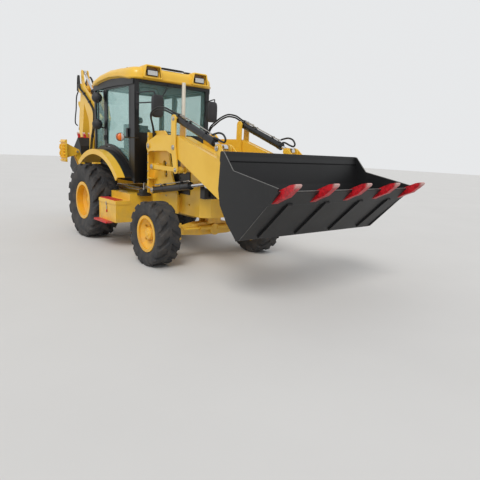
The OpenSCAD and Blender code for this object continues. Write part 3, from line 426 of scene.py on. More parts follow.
# %% Lamp lenses and seat plastic
AMBER_FROM, ARM_FROM, ARM_TO = 0.968, 0.640, 0.906


def lens():
    """Ribbed clear lens, amber on the side lamps' outer half, and black on the arms that hold them."""
    paint = Paint("lamp_lens", Roughness=0.12, Coat_Weight=0.6)
    ribs = paint.node("ShaderNodeTexWave", {"wave_type": "BANDS", "bands_direction": "Y"},
                      {"Vector": paint.place, "Scale": 46.0})
    side = paint.y.abs()
    clear = paint.mix(ribs, tone(226, 228, 226), tone(168, 172, 174))
    clear = paint.mix(side > AMBER_FROM, clear, tone(232, 112, 20))
    arm = (side > ARM_FROM) * (side < ARM_TO)
    return paint.finish(Base_Color=paint.mix(arm, clear, tone(26, 26, 28)),
                        Normal=paint.bump(ribs, 0.4))


def plastic(name, colour, pale):
    """Moulded plastic: a grained skin, paler where it is worn."""
    paint = Paint(name, Roughness=0.6)
    grain = paint.noise(240, 3)
    return paint.finish(Base_Color=paint.mix(paint.noise(6, 4).step(0.4, 0.8) * 0.5, colour, pale),
                        Roughness=0.5 + grain * 0.2, Normal=paint.bump(grain, 0.25, 0.001))


lamp_lens = lens()
seat_plastic = plastic("seat_plastic", tone(40, 40, 43), tone(66, 66, 68))
print("lens and plastic ready")

# %% [markdown]
# ## Which solid wears which finish
# Each node of the model has a material slot; assigning to it keeps the shape and changes the look.

# %% Dress the solids
FINISHES = {
    yellow: """chassis loader_towers rear_frame front_axle roof loader_arms
        rear_levers level_links tip_levers tip_links swing_post boom stick hoe_guides hoe_link
        stabilizer_right stabilizer_left""",
    rim_yellow: """rear_rim_right rear_rim_left front_rim_right front_rim_left knuckle_right
        knuckle_left""",
    hood_yellow: "hood",
    fender_yellow: "fenders",
    step_paint: "side_boxes",
    cab_black: "cab_frame door_right door_left grille mirrors",
    cylinder_black: """lift_barrels tilt_barrels boom_barrel stick_barrel hoe_barrel leg_barrel_right
        leg_barrel_left""",
    cast_black: "rear_axle engine",
    bucket_black: "loader_bucket",
    hoe_black: "hoe_bucket",
    rod_chrome: "lift_rods tilt_rods boom_rod stick_rod hoe_rod leg_rod_right leg_rod_left",
    exhaust_metal: "exhaust",
    tyre_rubber: "rear_tyre_right rear_tyre_left front_tyre_right front_tyre_left",
    lamp_lens: "lamps",
    seat_plastic: "seat_and_console",
    cab_glass: "windows door_glass_right door_glass_left",
}
for finish, names in FINISHES.items():
    for name in names.split():
        mesh = nodes[name].data
        mesh.materials.clear()
        mesh.materials.append(finish)
print("solids dressed:", sum(len(n.split()) for n in FINISHES.values()))

# %% [markdown]
# ## Surfaces from arrays
# Every new piece is a surface worked out with numpy. A grid of points, row by row, becomes quads by
# index arithmetic: the quad at (i, j) joins points (i, j), (i+1, j), (i+1, j+1) and (i, j+1). Several
# grids gathered in one Shape become one piece, so twenty bolts cost one object.

# %% Gather grids of points into a piece
def unit(v):
    """Vectors of length 1 along the last axis."""
    v = np.asarray(v, float)
    return v / np.linalg.norm(v, axis=-1, keepdims=True)


def ease(t):
    """3 t^2 - 2 t^3: a smooth step from 0 to 1, flat beyond both ends."""
    t = np.clip(t, 0, 1)
    return t * t * (3 - 2 * t)


class Shape:
    """Drawing points and faces gathered for one piece."""

    def __init__(self):
        self.points, self.faces, self.count = [], [], 0

    def grid(self, points, wrap_rows=False, wrap_columns=True, caps=True):
        """Adds a grid of points; caps close its first and last row, or only the last, with a face."""
        rows, columns = points.shape[:2]
        i, j = np.meshgrid(np.arange(rows if wrap_rows else rows - 1),
                           np.arange(columns if wrap_columns else columns - 1), indexing="ij")
        i2, j2 = (i + 1) % rows, (j + 1) % columns
        quads = np.stack([i * columns + j, i2 * columns + j, i2 * columns + j2, i * columns + j2], -1)
        self.faces += (quads.reshape(-1, 4) + self.count).tolist()
        if caps and wrap_columns and not wrap_rows:
            ring = np.arange(columns) + self.count
            ends = [ring[::-1].tolist(), (ring + (rows - 1) * columns).tolist()]
            self.faces += ends[1:] if caps == "last" else ends
        self.points.append(points.reshape(-1, 3))
        self.count += rows * columns
        return self

    def box(self, centre, size, power=6, rows=14, columns=28):
        """Adds a box with round corners."""
        return self.grid(pillow(centre, size, power, rows, columns))

    def lathe(self, profile, centre, axis, sides=24, hoop=False):
        """Adds a turned profile, which runs back to its start where it is a hoop."""
        return self.grid(turned(profile, centre, axis, sides), wrap_rows=hoop, caps=False)

    def hose(self, points, count, radius, sides=12):
        """Adds a tube along the smooth curve through some points."""
        return self.grid(tube(smooth_path(points, count), radius, sides))

    def mirrored(self):
        """Adds the same points and faces on the machine's other side, at -y."""
        start = self.count
        other = np.concatenate(self.points) * (1, -1, 1)
        self.faces += [[n + start for n in face[::-1]] for face in self.faces]
        self.points.append(other)
        self.count += len(other)
        return self

    def piece(self, name, material, body, slot, smooth=40):
        """Moves the drawing points to the model's, turns the faces outwards, smooths them below an
        angle, and rides the body. A piece given no body rides none and stays where it is drawn."""
        mesh = bpy.data.meshes.new(name)
        points = np.concatenate(self.points) - (REAR_AXLE_BACK, 0, 0)
        mesh.from_pydata(points.tolist(), [], self.faces)
        bm = bmesh.new()
        bm.from_mesh(mesh)
        bmesh.ops.remove_doubles(bm, verts=bm.verts, dist=1e-5)
        bmesh.ops.recalc_face_normals(bm, faces=bm.faces)
        bm.to_mesh(mesh)
        bm.free()
        mesh.shade_smooth()
        mesh.set_sharp_from_angle(angle=math.radians(smooth))
        mesh.materials.append(material)
        made = bpy.data.objects.new(name, mesh)
        bpy.context.scene.collection.objects.link(made)
        if body:
            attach(made, body)
        print(name, len(mesh.polygons), "faces on", body or "two bodies")
        return made


# %% Four ways to make a grid
def frame_of(axis):
    """Two unit vectors at right angles to an axis and to each other."""
    axis = unit(axis)
    side = unit(np.cross(axis, (0, 0, 1) if abs(axis[2]) < 0.9 else (1, 0, 0)))
    return side, np.cross(axis, side)


def turned(profile, centre, axis, sides=24):
    """A lathe: point = centre + height * axis + radius * (cos t * u + sin t * v)."""
    radius, height = np.asarray(profile, float).T
    u, v = frame_of(axis)
    t = np.linspace(0, 2 * np.pi, sides, endpoint=False)
    round_ = np.cos(t)[:, None] * u + np.sin(t)[:, None] * v
    return centre + height[:, None, None] * unit(axis) + radius[:, None, None] * round_


def smooth_path(points, count):
    """A Catmull-Rom curve through the points: each span blends its four neighbours by cubics."""
    p = np.asarray(points, float)
    p = np.concatenate([[2 * p[0] - p[1]], p, [2 * p[-1] - p[-2]]])
    s = np.linspace(0, len(p) - 3 - 1e-9, count)
    k, t = s.astype(int), (s % 1)[:, None]
    a, b, c, d = p[k], p[k + 1], p[k + 2], p[k + 3]
    return 0.5 * (2 * b + (c - a) * t + (2 * a - 5 * b + 4 * c - d) * t ** 2
                  + (3 * b - a - 3 * c + d) * t ** 3)


def tube(path, radius, sides=12):
    """A hose: round sections carried along a path, each square to the path's direction."""
    path = np.asarray(path, float)
    along = unit(np.gradient(path, axis=0))
    plane = unit(np.cross(path[-1] - path[0], path[len(path) // 2] - path[0]) + 1e-9)
    side = unit(np.cross(along, plane))
    over = np.cross(along, side)
    t = np.linspace(0, 2 * np.pi, sides, endpoint=False)[:, None]
    ring = np.cos(t) * side[:, None, :] + np.sin(t) * over[:, None, :]
    radius = np.broadcast_to(radius, len(path))
    return path[:, None, :] + radius[:, None, None] * ring


def plate(outline, y0, y1, edge=0.003):
    """A side view outline made thick from y0 to y1, its corners drawn in by edge at each face."""
    p = np.asarray(outline, float)
    before, after = unit(p - np.roll(p, 1, 0)), unit(np.roll(p, -1, 0) - p)
    inward = np.stack([-(before + after)[:, 1], (before + after)[:, 0]], -1)
    area = np.sum(p[:, 0] * np.roll(p[:, 1], -1) - np.roll(p[:, 0], -1) * p[:, 1])
    small = p + unit(inward) * edge * np.sign(area)
    rows = [(small, y0), (p, y0 + edge), (p, y1 - edge), (small, y1)]
    return np.stack([np.stack([q[:, 0], np.full(len(q), y), q[:, 1]], -1) for q, y in rows])


def pillow(centre, size, power=6, rows=14, columns=28):
    """A box with round corners: cosines and sines raised to 2 / power, scaled to half the size."""
    def soft(w): return np.sign(w) * np.abs(w) ** (2 / power)
    a = np.linspace(-np.pi / 2, np.pi / 2, rows)[:, None]
    b = np.linspace(0, 2 * np.pi, columns, endpoint=False)[None, :]
    p = np.stack([soft(np.cos(a)) * soft(np.cos(b)), soft(np.cos(a)) * soft(np.sin(b)),
                  soft(np.sin(a)) * np.ones_like(b)], -1)
    return np.asarray(centre, float) + p * np.asarray(size, float) / 2


def bolt_heads(shape, centre, axis, ring, count, radius, height, start=0.0):
    """Hexagon heads on washers, evenly round a ring about an axis."""
    u, v = frame_of(axis)
    rim = radius * 1.35
    washer = [(0, 0), (rim, 0), (rim, height * 0.22), (radius, height * 0.24)]
    head = [(0, 0), (radius, 0), (radius, height * 0.85), (radius * 0.86, height), (0, height)]
    for t in start + np.arange(count) * 2 * np.pi / count:
        foot = centre + ring * (math.cos(t) * u + math.sin(t) * v)
        shape.lathe(washer, foot, axis, 16).lathe(head, foot, axis, 6)


print("grid makers ready")

# %% [markdown]
# ## Tyres
# A loader's tyre is a carcass with tall rubber bars moulded on it. The carcass is one cross-section
# turned about the axle. Each bar is a raised band in the plane of angle and width: bars from the left
# and right shoulder take turns, each sweeps back as it nears the middle, and its height is a smooth
# step from the groove up to the bar. Adding that height along the section's outward normal gives the
# whole tread as one grid.

# %% The tread as a function of angle and width
def tyre_surface(centre, radius, half, rim_r, bead, bars, bar_h, sweep, width, turns=420):
    """A tyre about an axle along y: carcass section plus bar height along its normal."""
    bead_r, bead_y = bead
    knots = np.array([
        (-bead_y, bead_r), (-bead_y, rim_r + 0.004), (-bead_y - 0.016, rim_r + 0.018),
        (-half * 0.965, radius * 0.70), (-half * 0.985, radius * 0.79), (-half * 0.955, radius * 0.87),
        (-half * 0.87, radius - bar_h * 1.25), (-half * 0.70, radius - bar_h * 1.02),
        (-half * 0.35, radius - bar_h * 0.99), (0, radius - bar_h * 0.98)])
    knots = np.concatenate([knots, knots[-2::-1] * (-1, 1)])
    first, last = smooth_path(knots[2:9], 22), smooth_path(knots[10:17], 22)
    middle = smooth_path(knots[8:11], 26)[1:-1]
    section = np.concatenate([knots[:2], first, middle, last, knots[-2:]])
    y, r = section[:, 0], section[:, 1]
    along = unit(np.gradient(section, axis=0))
    normal = np.stack([-along[:, 1], along[:, 0]], -1)
    t = np.abs(y) / half
    rise = ease((r - radius * 0.80) / (radius * 0.10))
    theta = np.linspace(0, 2 * np.pi, turns, endpoint=False)[:, None]

    def bar(side, offset):
        """1 on the bars that start at one shoulder, 0 in the grooves between them."""
        bend = sweep * (np.clip(t, 0, 1) ** 1.25)
        phase = -theta * bars / (2 * np.pi) - bend + offset + 0.035 * np.sin(9 * t + 2)
        off = np.abs((phase + 0.5) % 1 - 0.5)
        wide = width * (1 + 0.30 * np.clip(t - 0.55, 0, 1))
        reach = np.clip((side * y / half + 0.16) / 0.05, 0, 1)
        return ease((wide + 0.055 - off) / 0.055) * reach

    height = bar_h * rise * np.maximum(bar(1, 0.0), bar(-1, 0.5))
    ring_y = np.clip(y + normal[:, 0] * height, -half, half)
    ring_r = np.minimum(r + normal[:, 1] * height, radius)
    return centre + np.stack([ring_r * np.cos(theta), ring_y, ring_r * np.sin(theta)], -1)


REAR_TYRE = dict(radius=0.665, half=0.245, rim_r=0.338, bead=(0.3005, 0.190), bars=17,
                 bar_h=0.036, sweep=1.15, width=0.235)
FRONT_TYRE = dict(radius=0.460, half=0.1725, rim_r=0.262, bead=(0.2365, 0.132), bars=14,
                  bar_h=0.024, sweep=0.78, width=0.27)
WHEELS = {"rear": (0.0, 0.868, REAR_TYRE), "front": (2.514, 0.968, FRONT_TYRE)}
for place, (x, y, sizes) in WHEELS.items():
    for side, sign in SIDES:
        points = tyre_surface((x, sign * y, sizes["radius"]), **sizes)
        tyre = Shape().grid(points, wrap_rows=True, caps=False).piece(
            f"{place}_tread_{side}", tyre_rubber, f"{place}_wheel_{side}", "tyre_rubber", 50)
        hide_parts(f"{place}_tyre_{side}")

# %% [markdown]
# ## Wheel bolts and hubs
# Rims are dished so that the bolts sit deep inside. The front hub ends in a round cover with its own
# ring of screws, since it holds the wheel's planet gears.

# %% Bolts and covers on the wheels
TRIM = {  # nut ring and cover screws: distance out, ring, count, radius, height, first angle
    "rear": dict(nuts=(0.018, 0.155, 10, 0.016, 0.030, 0.0), screws=(0.092, 0.080, 6, 0.007, 0.008),
                 out=0.070, cover=[(0, 0), (0.104, 0), (0.104, 0.012), (0.094, 0.022), (0.060, 0.026),
                                   (0.056, 0.040), (0.020, 0.046), (0, 0.046)]),
    "front": dict(nuts=(0.050, 0.122, 8, 0.012, 0.022, 0.2), screws=(0.114, 0.062, 6, 0.006, 0.007),
                  out=0.096, cover=[(0, 0), (0.086, 0), (0.086, 0.010), (0.076, 0.020),
                                    (0.040, 0.023), (0.036, 0.030), (0, 0.031)])}
for place, trim in TRIM.items():
    for side, sign in SIDES:
        x, y, sizes = WHEELS[place]
        centre, axis = np.array([x, sign * y, sizes["radius"]]), np.array([0, sign, 0])
        hub = Shape()
        out, *nuts = trim["nuts"]
        bolt_heads(hub, centre + axis * out, axis, *nuts)
        hub.lathe(trim["cover"], centre + axis * trim["out"], axis, 40)
        out, *screws = trim["screws"]
        bolt_heads(hub, centre + axis * out, axis, *screws)
        hub.piece(f"{place}_hub_{side}", rim_yellow, f"{place}_wheel_{side}", "rim_paint")

# %% [markdown]
# ## Roof
# The roof is one moulded shell. Seen from above it is a superellipse, |x/a|^n + |y/b|^n = 1 with a high
# n, which is a rectangle with soft corners. Each row of the surface is that outline drawn in by an
# inset and lifted to a height, from the lip under the edge up to the crown. Height depends on x: the
# roof falls away at the rear, and its lower edge arches over the doors.

# %% The roof's shell
ROOF_CENTRE, ROOF_HALF, ROOF_EDGE = np.array([0.565, 0.0]), np.array([0.895, 0.800]), 2.722


def window_of(x, start, end, soft):
    """1 between start and end and 0 outside, with smooth shoulders."""
    return ease((x - start) / soft) * ease((end - x) / soft)


def arch_rise(x):
    """How far the edge arches up over the door, as a parabola of x."""
    return 0.076 * np.clip(1 - ((x - 0.585) / 0.66) ** 2, 0, 1)


def roof_surface(columns=220, power=9.0):
    """Rows of (inset, share of the way from lower edge to top, extra height) about the outline."""
    t = np.linspace(0, 2 * np.pi, columns, endpoint=False)
    ring = np.stack([np.cos(t), np.sin(t)], -1)
    outline = np.sign(ring) * np.abs(ring) ** (2 / power)
    rows = [(0.115, 0, -0.004), (0.100, 0, 0), (0.030, 0, 0), (0.008, 0, 0.006), (0, 0, 0.020),
            (0.001, 0, 0.034), (0.011, 0, 0.040), (0.012, 0.30, 0.020), (0.020, 0.62, 0),
            (0.048, 0.86, 0), (0.080, 0.955, 0), (0.120, 1, 0), (0.20, 1, 0.006),
            (0.34, 1, 0.012), (0.52, 1, 0.016), (0.72, 1, 0.018), (0.79, 1, 0.018)]
    made = []
    for inset, share, lift in rows:
        x, y = (ROOF_CENTRE + outline * (ROOF_HALF - inset)).T
        side = np.clip((np.abs(y) - 0.66) / 0.08, 0, 1)
        low = ROOF_EDGE + (arch_rise(x) * side if inset < 0.11 else 0)
        top = 2.918 - 0.105 * ease((0.42 - x) / 0.75) * (1 if inset < 0.3 else 0.5)
        mould = window_of(x, 0.36, 0.98, 0.07) * side + 0.7 * window_of(x, -0.20, 0.22, 0.08) * side
        z = low + (top - low) * share + lift + 0.014 * mould * share
        y = y + np.sign(y) * 0.010 * mould * np.sin(np.pi * min(share + 0.1, 1.0))
        y = np.clip(y, -ROOF_HALF[1], ROOF_HALF[1])
        made.append(np.stack([x, y, z], -1))
    return np.stack(made)


roof_shell = Shape().grid(roof_surface()).piece("roof_shell", yellow, "machine", "yellow_paint", 50)

# %% [markdown]
# Two pods carry the front lamps. Each is a trapezoid outline with round corners, swept forward and
# then back in on itself to make the recess; the recess's yellow is darkened to ochre as painted shade.

# %% Lamp pods, their recesses and housings
POD_Y, LAMP_Z = 0.448, 2.828


def trapezoid(low, high, z0, z1, corner, steps=7):
    """Half widths low and high at heights z0 and z1, with quarter circles at its corners."""
    points = []
    for k, (y, z) in enumerate([(-low, z0), (low, z0), (high, z1), (-high, z1)]):
        start = math.pi + k * math.pi / 2
        a = np.linspace(start, start + math.pi / 2, steps)
        cy = y - math.copysign(corner, y)
        cz = z + (corner if k < 2 else -corner)
        points.append(np.stack([cy + corner * np.cos(a), cz + corner * np.sin(a)], -1))
    return np.concatenate(points)


def pod_outline(inset, lower=0.0):
    """The pod's front outline drawn in by an inset, with its top lowered."""
    return trapezoid(0.168 - inset, 0.142 - inset, 2.735 + inset, 2.942 - inset - lower,
                     max(0.030 - inset * 0.6, 0.012))


def sweep_forward(rows, y, z=0.0):
    """Rows of (x, outline of y and z), each moved by y and z."""
    return np.stack([np.stack([np.full(len(o), x), o[:, 0] + y, o[:, 1] + z], -1) for x, o in rows])


POD = [(x, pod_outline(*insets)) for x, *insets in (
    (1.02, 0.004, 0.034), (1.18, 0.002, 0.010), (1.44, 0), (1.488, 0.001), (1.497, 0.005),
    (1.500, 0.012), (1.499, 0.019), (1.494, 0.024), (1.416, 0.030))]
LINING = [(x, pod_outline(inset)) for x, inset in (
    (1.488, 0.0249), (1.418, 0.0290), (1.4175, 0.040), (1.4175, 0.100))]
box = trapezoid(0.098, 0.098, -0.046, 0.046, 0.012)
hollow = trapezoid(0.090, 0.090, -0.038, 0.038, 0.008)
HOUSING = [(1.416, box), (1.468, box), (1.4735, box * 0.97), (1.474, hollow), (1.4695, hollow * 0.985)]
# painted shade: the recess lining is the roof's yellow darkened to ochre, for the shade inside the recess
shaded_recess_paint = body_paint("recess_painted_shade", tone(140, 96, 34), tone(112, 76, 30))
pods, linings, housings = Shape(), Shape(), Shape()
for y in (-POD_Y, POD_Y):
    pods.grid(sweep_forward(POD, y))
    linings.grid(sweep_forward(LINING, y), caps="last")
    housings.grid(sweep_forward(HOUSING, y, LAMP_Z))
pods.piece("lamp_pods", yellow, "machine", "yellow_paint", 45)
linings.piece("lamp_recesses", shaded_recess_paint, "machine", "yellow_paint", 45)
housings.piece("lamp_housings", cab_black, "machine", "black_paint", 40)
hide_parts("roof")

# %% [markdown]
# A black header follows the arch under the roof's edge, and low black rails lie on top of it.

# %% Header under the roof, and rails on top
header = Shape()
x = np.linspace(-0.235, 1.365, 60)
arch = arch_rise(x)
outline = np.concatenate([np.stack([x, 2.640 + 0.2 * arch], -1),
                          np.stack([x, ROOF_EDGE + arch], -1)[::-1]])
header.grid(plate(outline, 0.716, 0.742, 0.004)).mirrored()
for y0, y1, x0 in ((-0.27, 0.20, 1.36), (0.235, 0.42, 1.30), (-0.62, -0.60, 0.9)):
    header.box((x0, (y0 + y1) / 2, 2.938), (0.060, y1 - y0, 0.030), 4)
header.box((1.372, 0, 2.700), (0.035, 1.30, 0.075), 6)
header.piece("roof_header", cab_black, "machine", "black_paint")

# %% [markdown]
# ## Pins
# A loader turns on steel pins. Each one ends in a zinc cap held by a bolt, which shows as a small
# bright ring on the yellow. All caps come from one profile, placed by a table of points and bodies.

# %% Zinc caps on the pins
TILT_ENDS, LIFT_ENDS = ((2.510, 2.080), (3.600, 1.690)), ((1.820, 1.010), (3.280, 1.220))
PINS = {  # by body: x and z of the pin, y of its end, and the cap's radius
    "machine": [(1.740, 1.690, 0.6675, 0.038), (1.810, 1.375, 0.6425, 0.038),
                (*LIFT_ENDS[0], 0.6425, 0.036)],
    "levers": [(2.510, 1.680, 0.6835, 0.036), (*TILT_ENDS[0], 0.6835, 0.031),
               (2.580, 1.365, 0.6835, 0.031)],
    "tip_levers": [(3.680, 1.220, 0.6835, 0.036), (*TILT_ENDS[1], 0.7145, 0.034)],
    "bucket": [(4.330, 0.920, 0.6895, 0.036)],
}


def cap(shape, centre, axis, radius):
    """A disc with a soft edge, and a bolt's head on it."""
    axis, head = np.array(axis), radius * 0.4
    disc = [(0, 0), (radius, 0), (radius, 0.006), (radius * 0.9, 0.010), (0, 0.010)]
    bolt = [(0, 0), (head, 0), (head, 0.008), (radius * 0.3, 0.011), (0, 0.011)]
    return shape.lathe(disc, centre, axis, 28).lathe(bolt, centre + axis * 0.0095, axis, 6)


for body, rows in PINS.items():
    caps = Shape()
    for x, z, y, radius in rows:
        cap(caps, (x, y, z), (0, 1, 0), radius)
    caps.mirrored().piece(f"{body}_pin_caps", zinc, body, "rod_chrome")

# %% [markdown]
# The flange at the back of each loader tower carries a row of bolts, and the stabilizers' feet turn on
# pins whose heads face forward.

# %% Flange bolts and stabilizer pins
FLANGE_BOLTS = [(1.617, 0.6045, z) for z in np.linspace(1.02, 1.84, 7)]
PLATE_BOLTS = [(2.02, 0.4995, z) for z in np.linspace(0.94, 1.44, 4)]
flange = Shape()
for place in FLANGE_BOLTS + PLATE_BOLTS:
    bolt_heads(flange, place, np.array([0, 1, 0]), 0.0, 1, 0.010, 0.010)
flange.mirrored().piece("flange_bolts", zinc, "machine", "rod_chrome")
for side, sign in SIDES:
    foot = cap(Shape(), (-0.9155, sign * 0.8133, 1.5235), (1, 0, 0), 0.024)
    cap(foot, (-0.926, sign * 0.6373, 1.0878), (1, 0, 0), 0.018)
    foot.piece(f"foot_pin_{side}", zinc, f"stabilizer_{side}", "rod_chrome")

# %% [markdown]
# ## Mirrors
# The two big mirrors are moulded shells with the glass in their rear face, on a pair of thin tubes from
# the cab's corner. A pillow gives the shell: x, y and z are powers of cosines and sines, and the higher
# the power, the squarer the box. The small round mirrors on the right are domes of one profile.

# %% Mirror shells, their tubes and glass
shells, glasses = Shape(), Shape()
shells.box((1.757, 0.520, 2.300), (0.068, 0.198, 0.340), 4.5, 18, 36)
shells.box((1.384, 0.680, 2.390), (0.014, 0.044, 0.270))
shells.box((1.755, 0.575, 2.352), (0.034, 0.050, 0.050), 4)
shells.hose([(1.384, 0.680, 2.350), (1.56, 0.637, 2.352), (1.70, 0.603, 2.352), (1.745, 0.585, 2.352)],
            24, 0.0105)
shells.hose([(1.384, 0.680, 2.500), (1.55, 0.640, 2.512), (1.70, 0.600, 2.514), (1.752, 0.575, 2.500),
             (1.757, 0.565, 2.440)], 30, 0.0095)
glasses.box((1.7235, 0.520, 2.300), (0.006, 0.160, 0.296), 8)
shells.mirrored()
glasses.mirrored()
ROD_X, ROD_Y, CAB_SIDE = 0.215, -0.830, -0.724
ROD = [(CAB_SIDE, 1.982), (-0.805, 1.982), (ROD_Y, 2.004), (ROD_Y, 2.300), (ROD_Y, 2.570),
       (-0.805, 2.592), (CAB_SIDE, 2.592)]
shells.hose([(ROD_X, y, z) for y, z in ROD], 80, 0.0095)
for y, z in (ROD[0], ROD[-1]):
    shells.box((ROD_X, y, z), (0.050, 0.010, 0.050), 5)
DOME = [(0, 0.0915), (0.030, 0.0865), (0.056, 0.0725), (0.076, 0.0510), (0.088, 0.0260), (0.0905, 0.008),
        (0.0905, -0.004), (0.086, -0.016), (0.078, -0.046), (0.058, -0.068), (0.032, -0.080), (0, -0.084)]
for z in (2.035, 2.490):
    shells.lathe(DOME, (0.145, ROD_Y, z), (1, 0, 0), 40)
    shells.grid(tube([(x, ROD_Y, z + 0.010) for x in (0.170, 0.200, 0.222)], 0.009))
mirror_shells = shells.piece("mirror_shells", seat_plastic, "machine", "black_paint", 50)
mirror_silver = steel("mirror_silver", tone(214, 220, 224), tone(196, 204, 210), 0.04)
glasses.piece("mirror_glass", mirror_silver, "machine", "window_glass")
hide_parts("mirrors")

# %% [markdown]
# ## Hoses of the tilt cylinders
# Oil reaches the tilt cylinders by two rubber hoses on each side. They rise beside the tower's plate,
# arch over the arm, and end on the lever, so two joints bend them: the lift and the lever. A hose is
# a circle carried along a Catmull-Rom curve, square to its direction.

# %% Rubber hoses that bend twice
HOSE_RADIUS, STEPS, MEET = 0.0125, 10, 8
hose_rubber = black_paint("hose_rubber", tone(20, 20, 21), tone(60, 58, 56), 0.42)
ARCS = [[(1.640, 0.522, 1.610), (1.640, 0.522, 1.800), (1.642, 0.530, 1.950), (1.668, 0.572, 2.070),
         (1.730, 0.622, 2.145), (1.830, 0.648, 2.210), (2.030, 0.652, 2.260), (2.230, 0.652, 2.238),
         (2.360, 0.634, 2.196), (2.470, 0.612, 2.156), (2.580, 0.600, 2.134)],
        [(1.671, 0.522, 1.775), (1.668, 0.524, 1.850), (1.668, 0.532, 1.940), (1.692, 0.572, 2.045),
         (1.750, 0.622, 2.115), (1.842, 0.648, 2.178), (2.032, 0.652, 2.227), (2.226, 0.652, 2.206),
         (2.352, 0.636, 2.165), (2.462, 0.620, 2.127), (2.570, 0.612, 2.105)]]
for side, sign in SIDES[::-1]:
    lower, upper = Shape(), Shape()
    for arc in ARCS:
        path = smooth_path(np.array(arc) * (1, sign, 1), (len(arc) - 1) * STEPS + 1)
        whole = tube(path, HOSE_RADIUS, 14)
        lower.grid(whole[:MEET * STEPS + 1])
        upper.grid(whole[MEET * STEPS:])
    hose = lower.piece(f"lift_hoses_{side}", hose_rubber, None, "black_paint")
    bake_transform(hose)
    hose = upper.piece(f"tilt_hoses_{side}", hose_rubber, None, "black_paint")
    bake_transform(hose)
clips = Shape().box((1.655, 0.5165, 1.880), (0.085, 0.034, 0.030), 5)
clips.mirrored().piece("hose_clips", cylinder_black, "machine", "black_paint")

# %% [markdown]
# Each barrel carries two steel pipes, one to its far end and one to its port near the pin. They are
# placed by the cylinder's own axes: s along it, up square to it, and y across the machine.

# %% Steel pipes along the barrels
CYLINDER_Y = 0.600


def cylinder_axes(ends):
    """Start, direction and upward normal in the side view of a cylinder between two pins."""
    ends = np.array(ends)
    along = unit(ends[1] - ends[0])
    return ends[0], along, np.array([-along[1], along[0]])


def beside(ends, s, up, y=CYLINDER_Y):
    """Drawing point at a distance along and above a cylinder's line."""
    base, along, above = cylinder_axes(ends)
    x, z = base + along * s + above * up
    return x, y, z


def barrel_pipes(ends, radius, start, end, name, body):
    """Two pipes side by side over a cylinder, with nuts, ports and clamps."""
    _, (dx, dz), (nx, nz) = cylinder_axes(ends)
    pipes, clamps = Shape(), Shape()
    for y, last in ((CYLINDER_Y - 0.017, end), (CYLINDER_Y + 0.017, start + 0.16)):
        route = [(start - 0.02, 0.024), (start + 0.06, 0.022), ((start + last) / 2, 0.022),
                 (last - 0.06, 0.022), (last - 0.012, 0.016), (last, -0.006)]
        pipes.hose([beside(ends, s, radius + up, y) for s, up in route], 60, 0.0078)
        for s in (start - 0.015, last - 0.045):
            pipes.lathe([(0, 0), (0.0135, 0), (0.0135, 0.028), (0, 0.028)],
                        beside(ends, s, radius + 0.0225, y), (dx, 0, dz), 6)
        clamps.lathe([(0, 0), (0.022, 0), (0.022, 0.016), (0.017, 0.020), (0, 0.020)],
                     beside(ends, last, radius - 0.012, y), (nx, 0, nz), 18)
    band = [(radius + 0.0015, -0.008), (radius + 0.003, 0), (radius + 0.0015, 0.008),
            (radius - 0.004, 0.008), (radius - 0.004, -0.008)]
    for s in (start + 0.24, end - 0.18):
        clamps.lathe(band, beside(ends, s, 0), (dx, 0, dz), 32, hoop=True)
        clamps.box(beside(ends, s, radius + 0.016), (0.020, 0.056, 0.022), 5)
    pipes.mirrored().piece(f"{name}_pipes", zinc, body, "rod_chrome")
    clamps.mirrored().piece(f"{name}_clamps", cylinder_black, body, "black_paint")


barrel_pipes(TILT_ENDS, 0.050, 0.08, 0.905, "tilt", "tilt_barrels")
barrel_pipes(LIFT_ENDS, 0.052, 0.10, 1.010, "lift", "lift_barrels")

# %% [markdown]
# At the front of each tilt cylinder a short hose loops from the pipe's end round to the gland's port.
# Its route is given along the cylinder and above its middle line.

# %% Hose loops at the glands
LOOP = [(0.880, 0.078), (0.930, 0.110), (1.010, 0.150), (1.100, 0.160), (1.165, 0.125), (1.160, 0.082),
        (1.090, 0.070), (0.985, 0.070), (0.930, 0.055)]
loops = Shape().hose([beside(TILT_ENDS, s, up, 0.618) for s, up in LOOP], 80, HOSE_RADIUS, 14)
loops.mirrored().piece("gland_hose_loops", hose_rubber, "tilt_barrels", "black_paint")

# %% [markdown]
# ## Worn edges of the bucket
# Soil polishes the paint off a bucket's edges first, so a thin bright line follows them. It is a slim
# bead laid along each side plate's rim and along the lip.

# %% Bright beads along the bucket's rims
edge_steel = steel("edge_steel", tone(150, 149, 146), tone(92, 90, 88), 0.35)
RIM_Y, LIP_Y = 1.152, 1.155
RIM = [(x, RIM_Y, z) for x, z in ((4.300, 1.6490), (4.331, 1.6485), (4.500, 1.4615), (4.850, 1.3975),
                                  (5.186, 1.3350))]
rim_path = [np.linspace(a, b, 14, endpoint=False) for a, b in zip(RIM, RIM[1:])] + [RIM[-1:]]
beads = Shape().grid(tube(np.concatenate(rim_path), 0.0055, 8)).mirrored()
beads.grid(tube(np.linspace((5.186, -1.150, 1.3085), (5.186, 1.150, 1.3085), 40), 0.0045, 8))
for y in (-LIP_Y, LIP_Y):
    beads.grid(tube(np.linspace((5.176, y, 1.292), (4.640, y, 0.748), 30), 0.0045, 8))
beads.piece("bucket_bright_edges", edge_steel, "bucket", "black_paint")

# %% [markdown]
# ## Boxes, latches and pipes along the frame
# The toolbox has a lid whose rim stands proud, and a rubber latch. Behind the loader's tower stand the
# valves: a black block with steel unions, pipes that run back under the cab, and a hand lever.

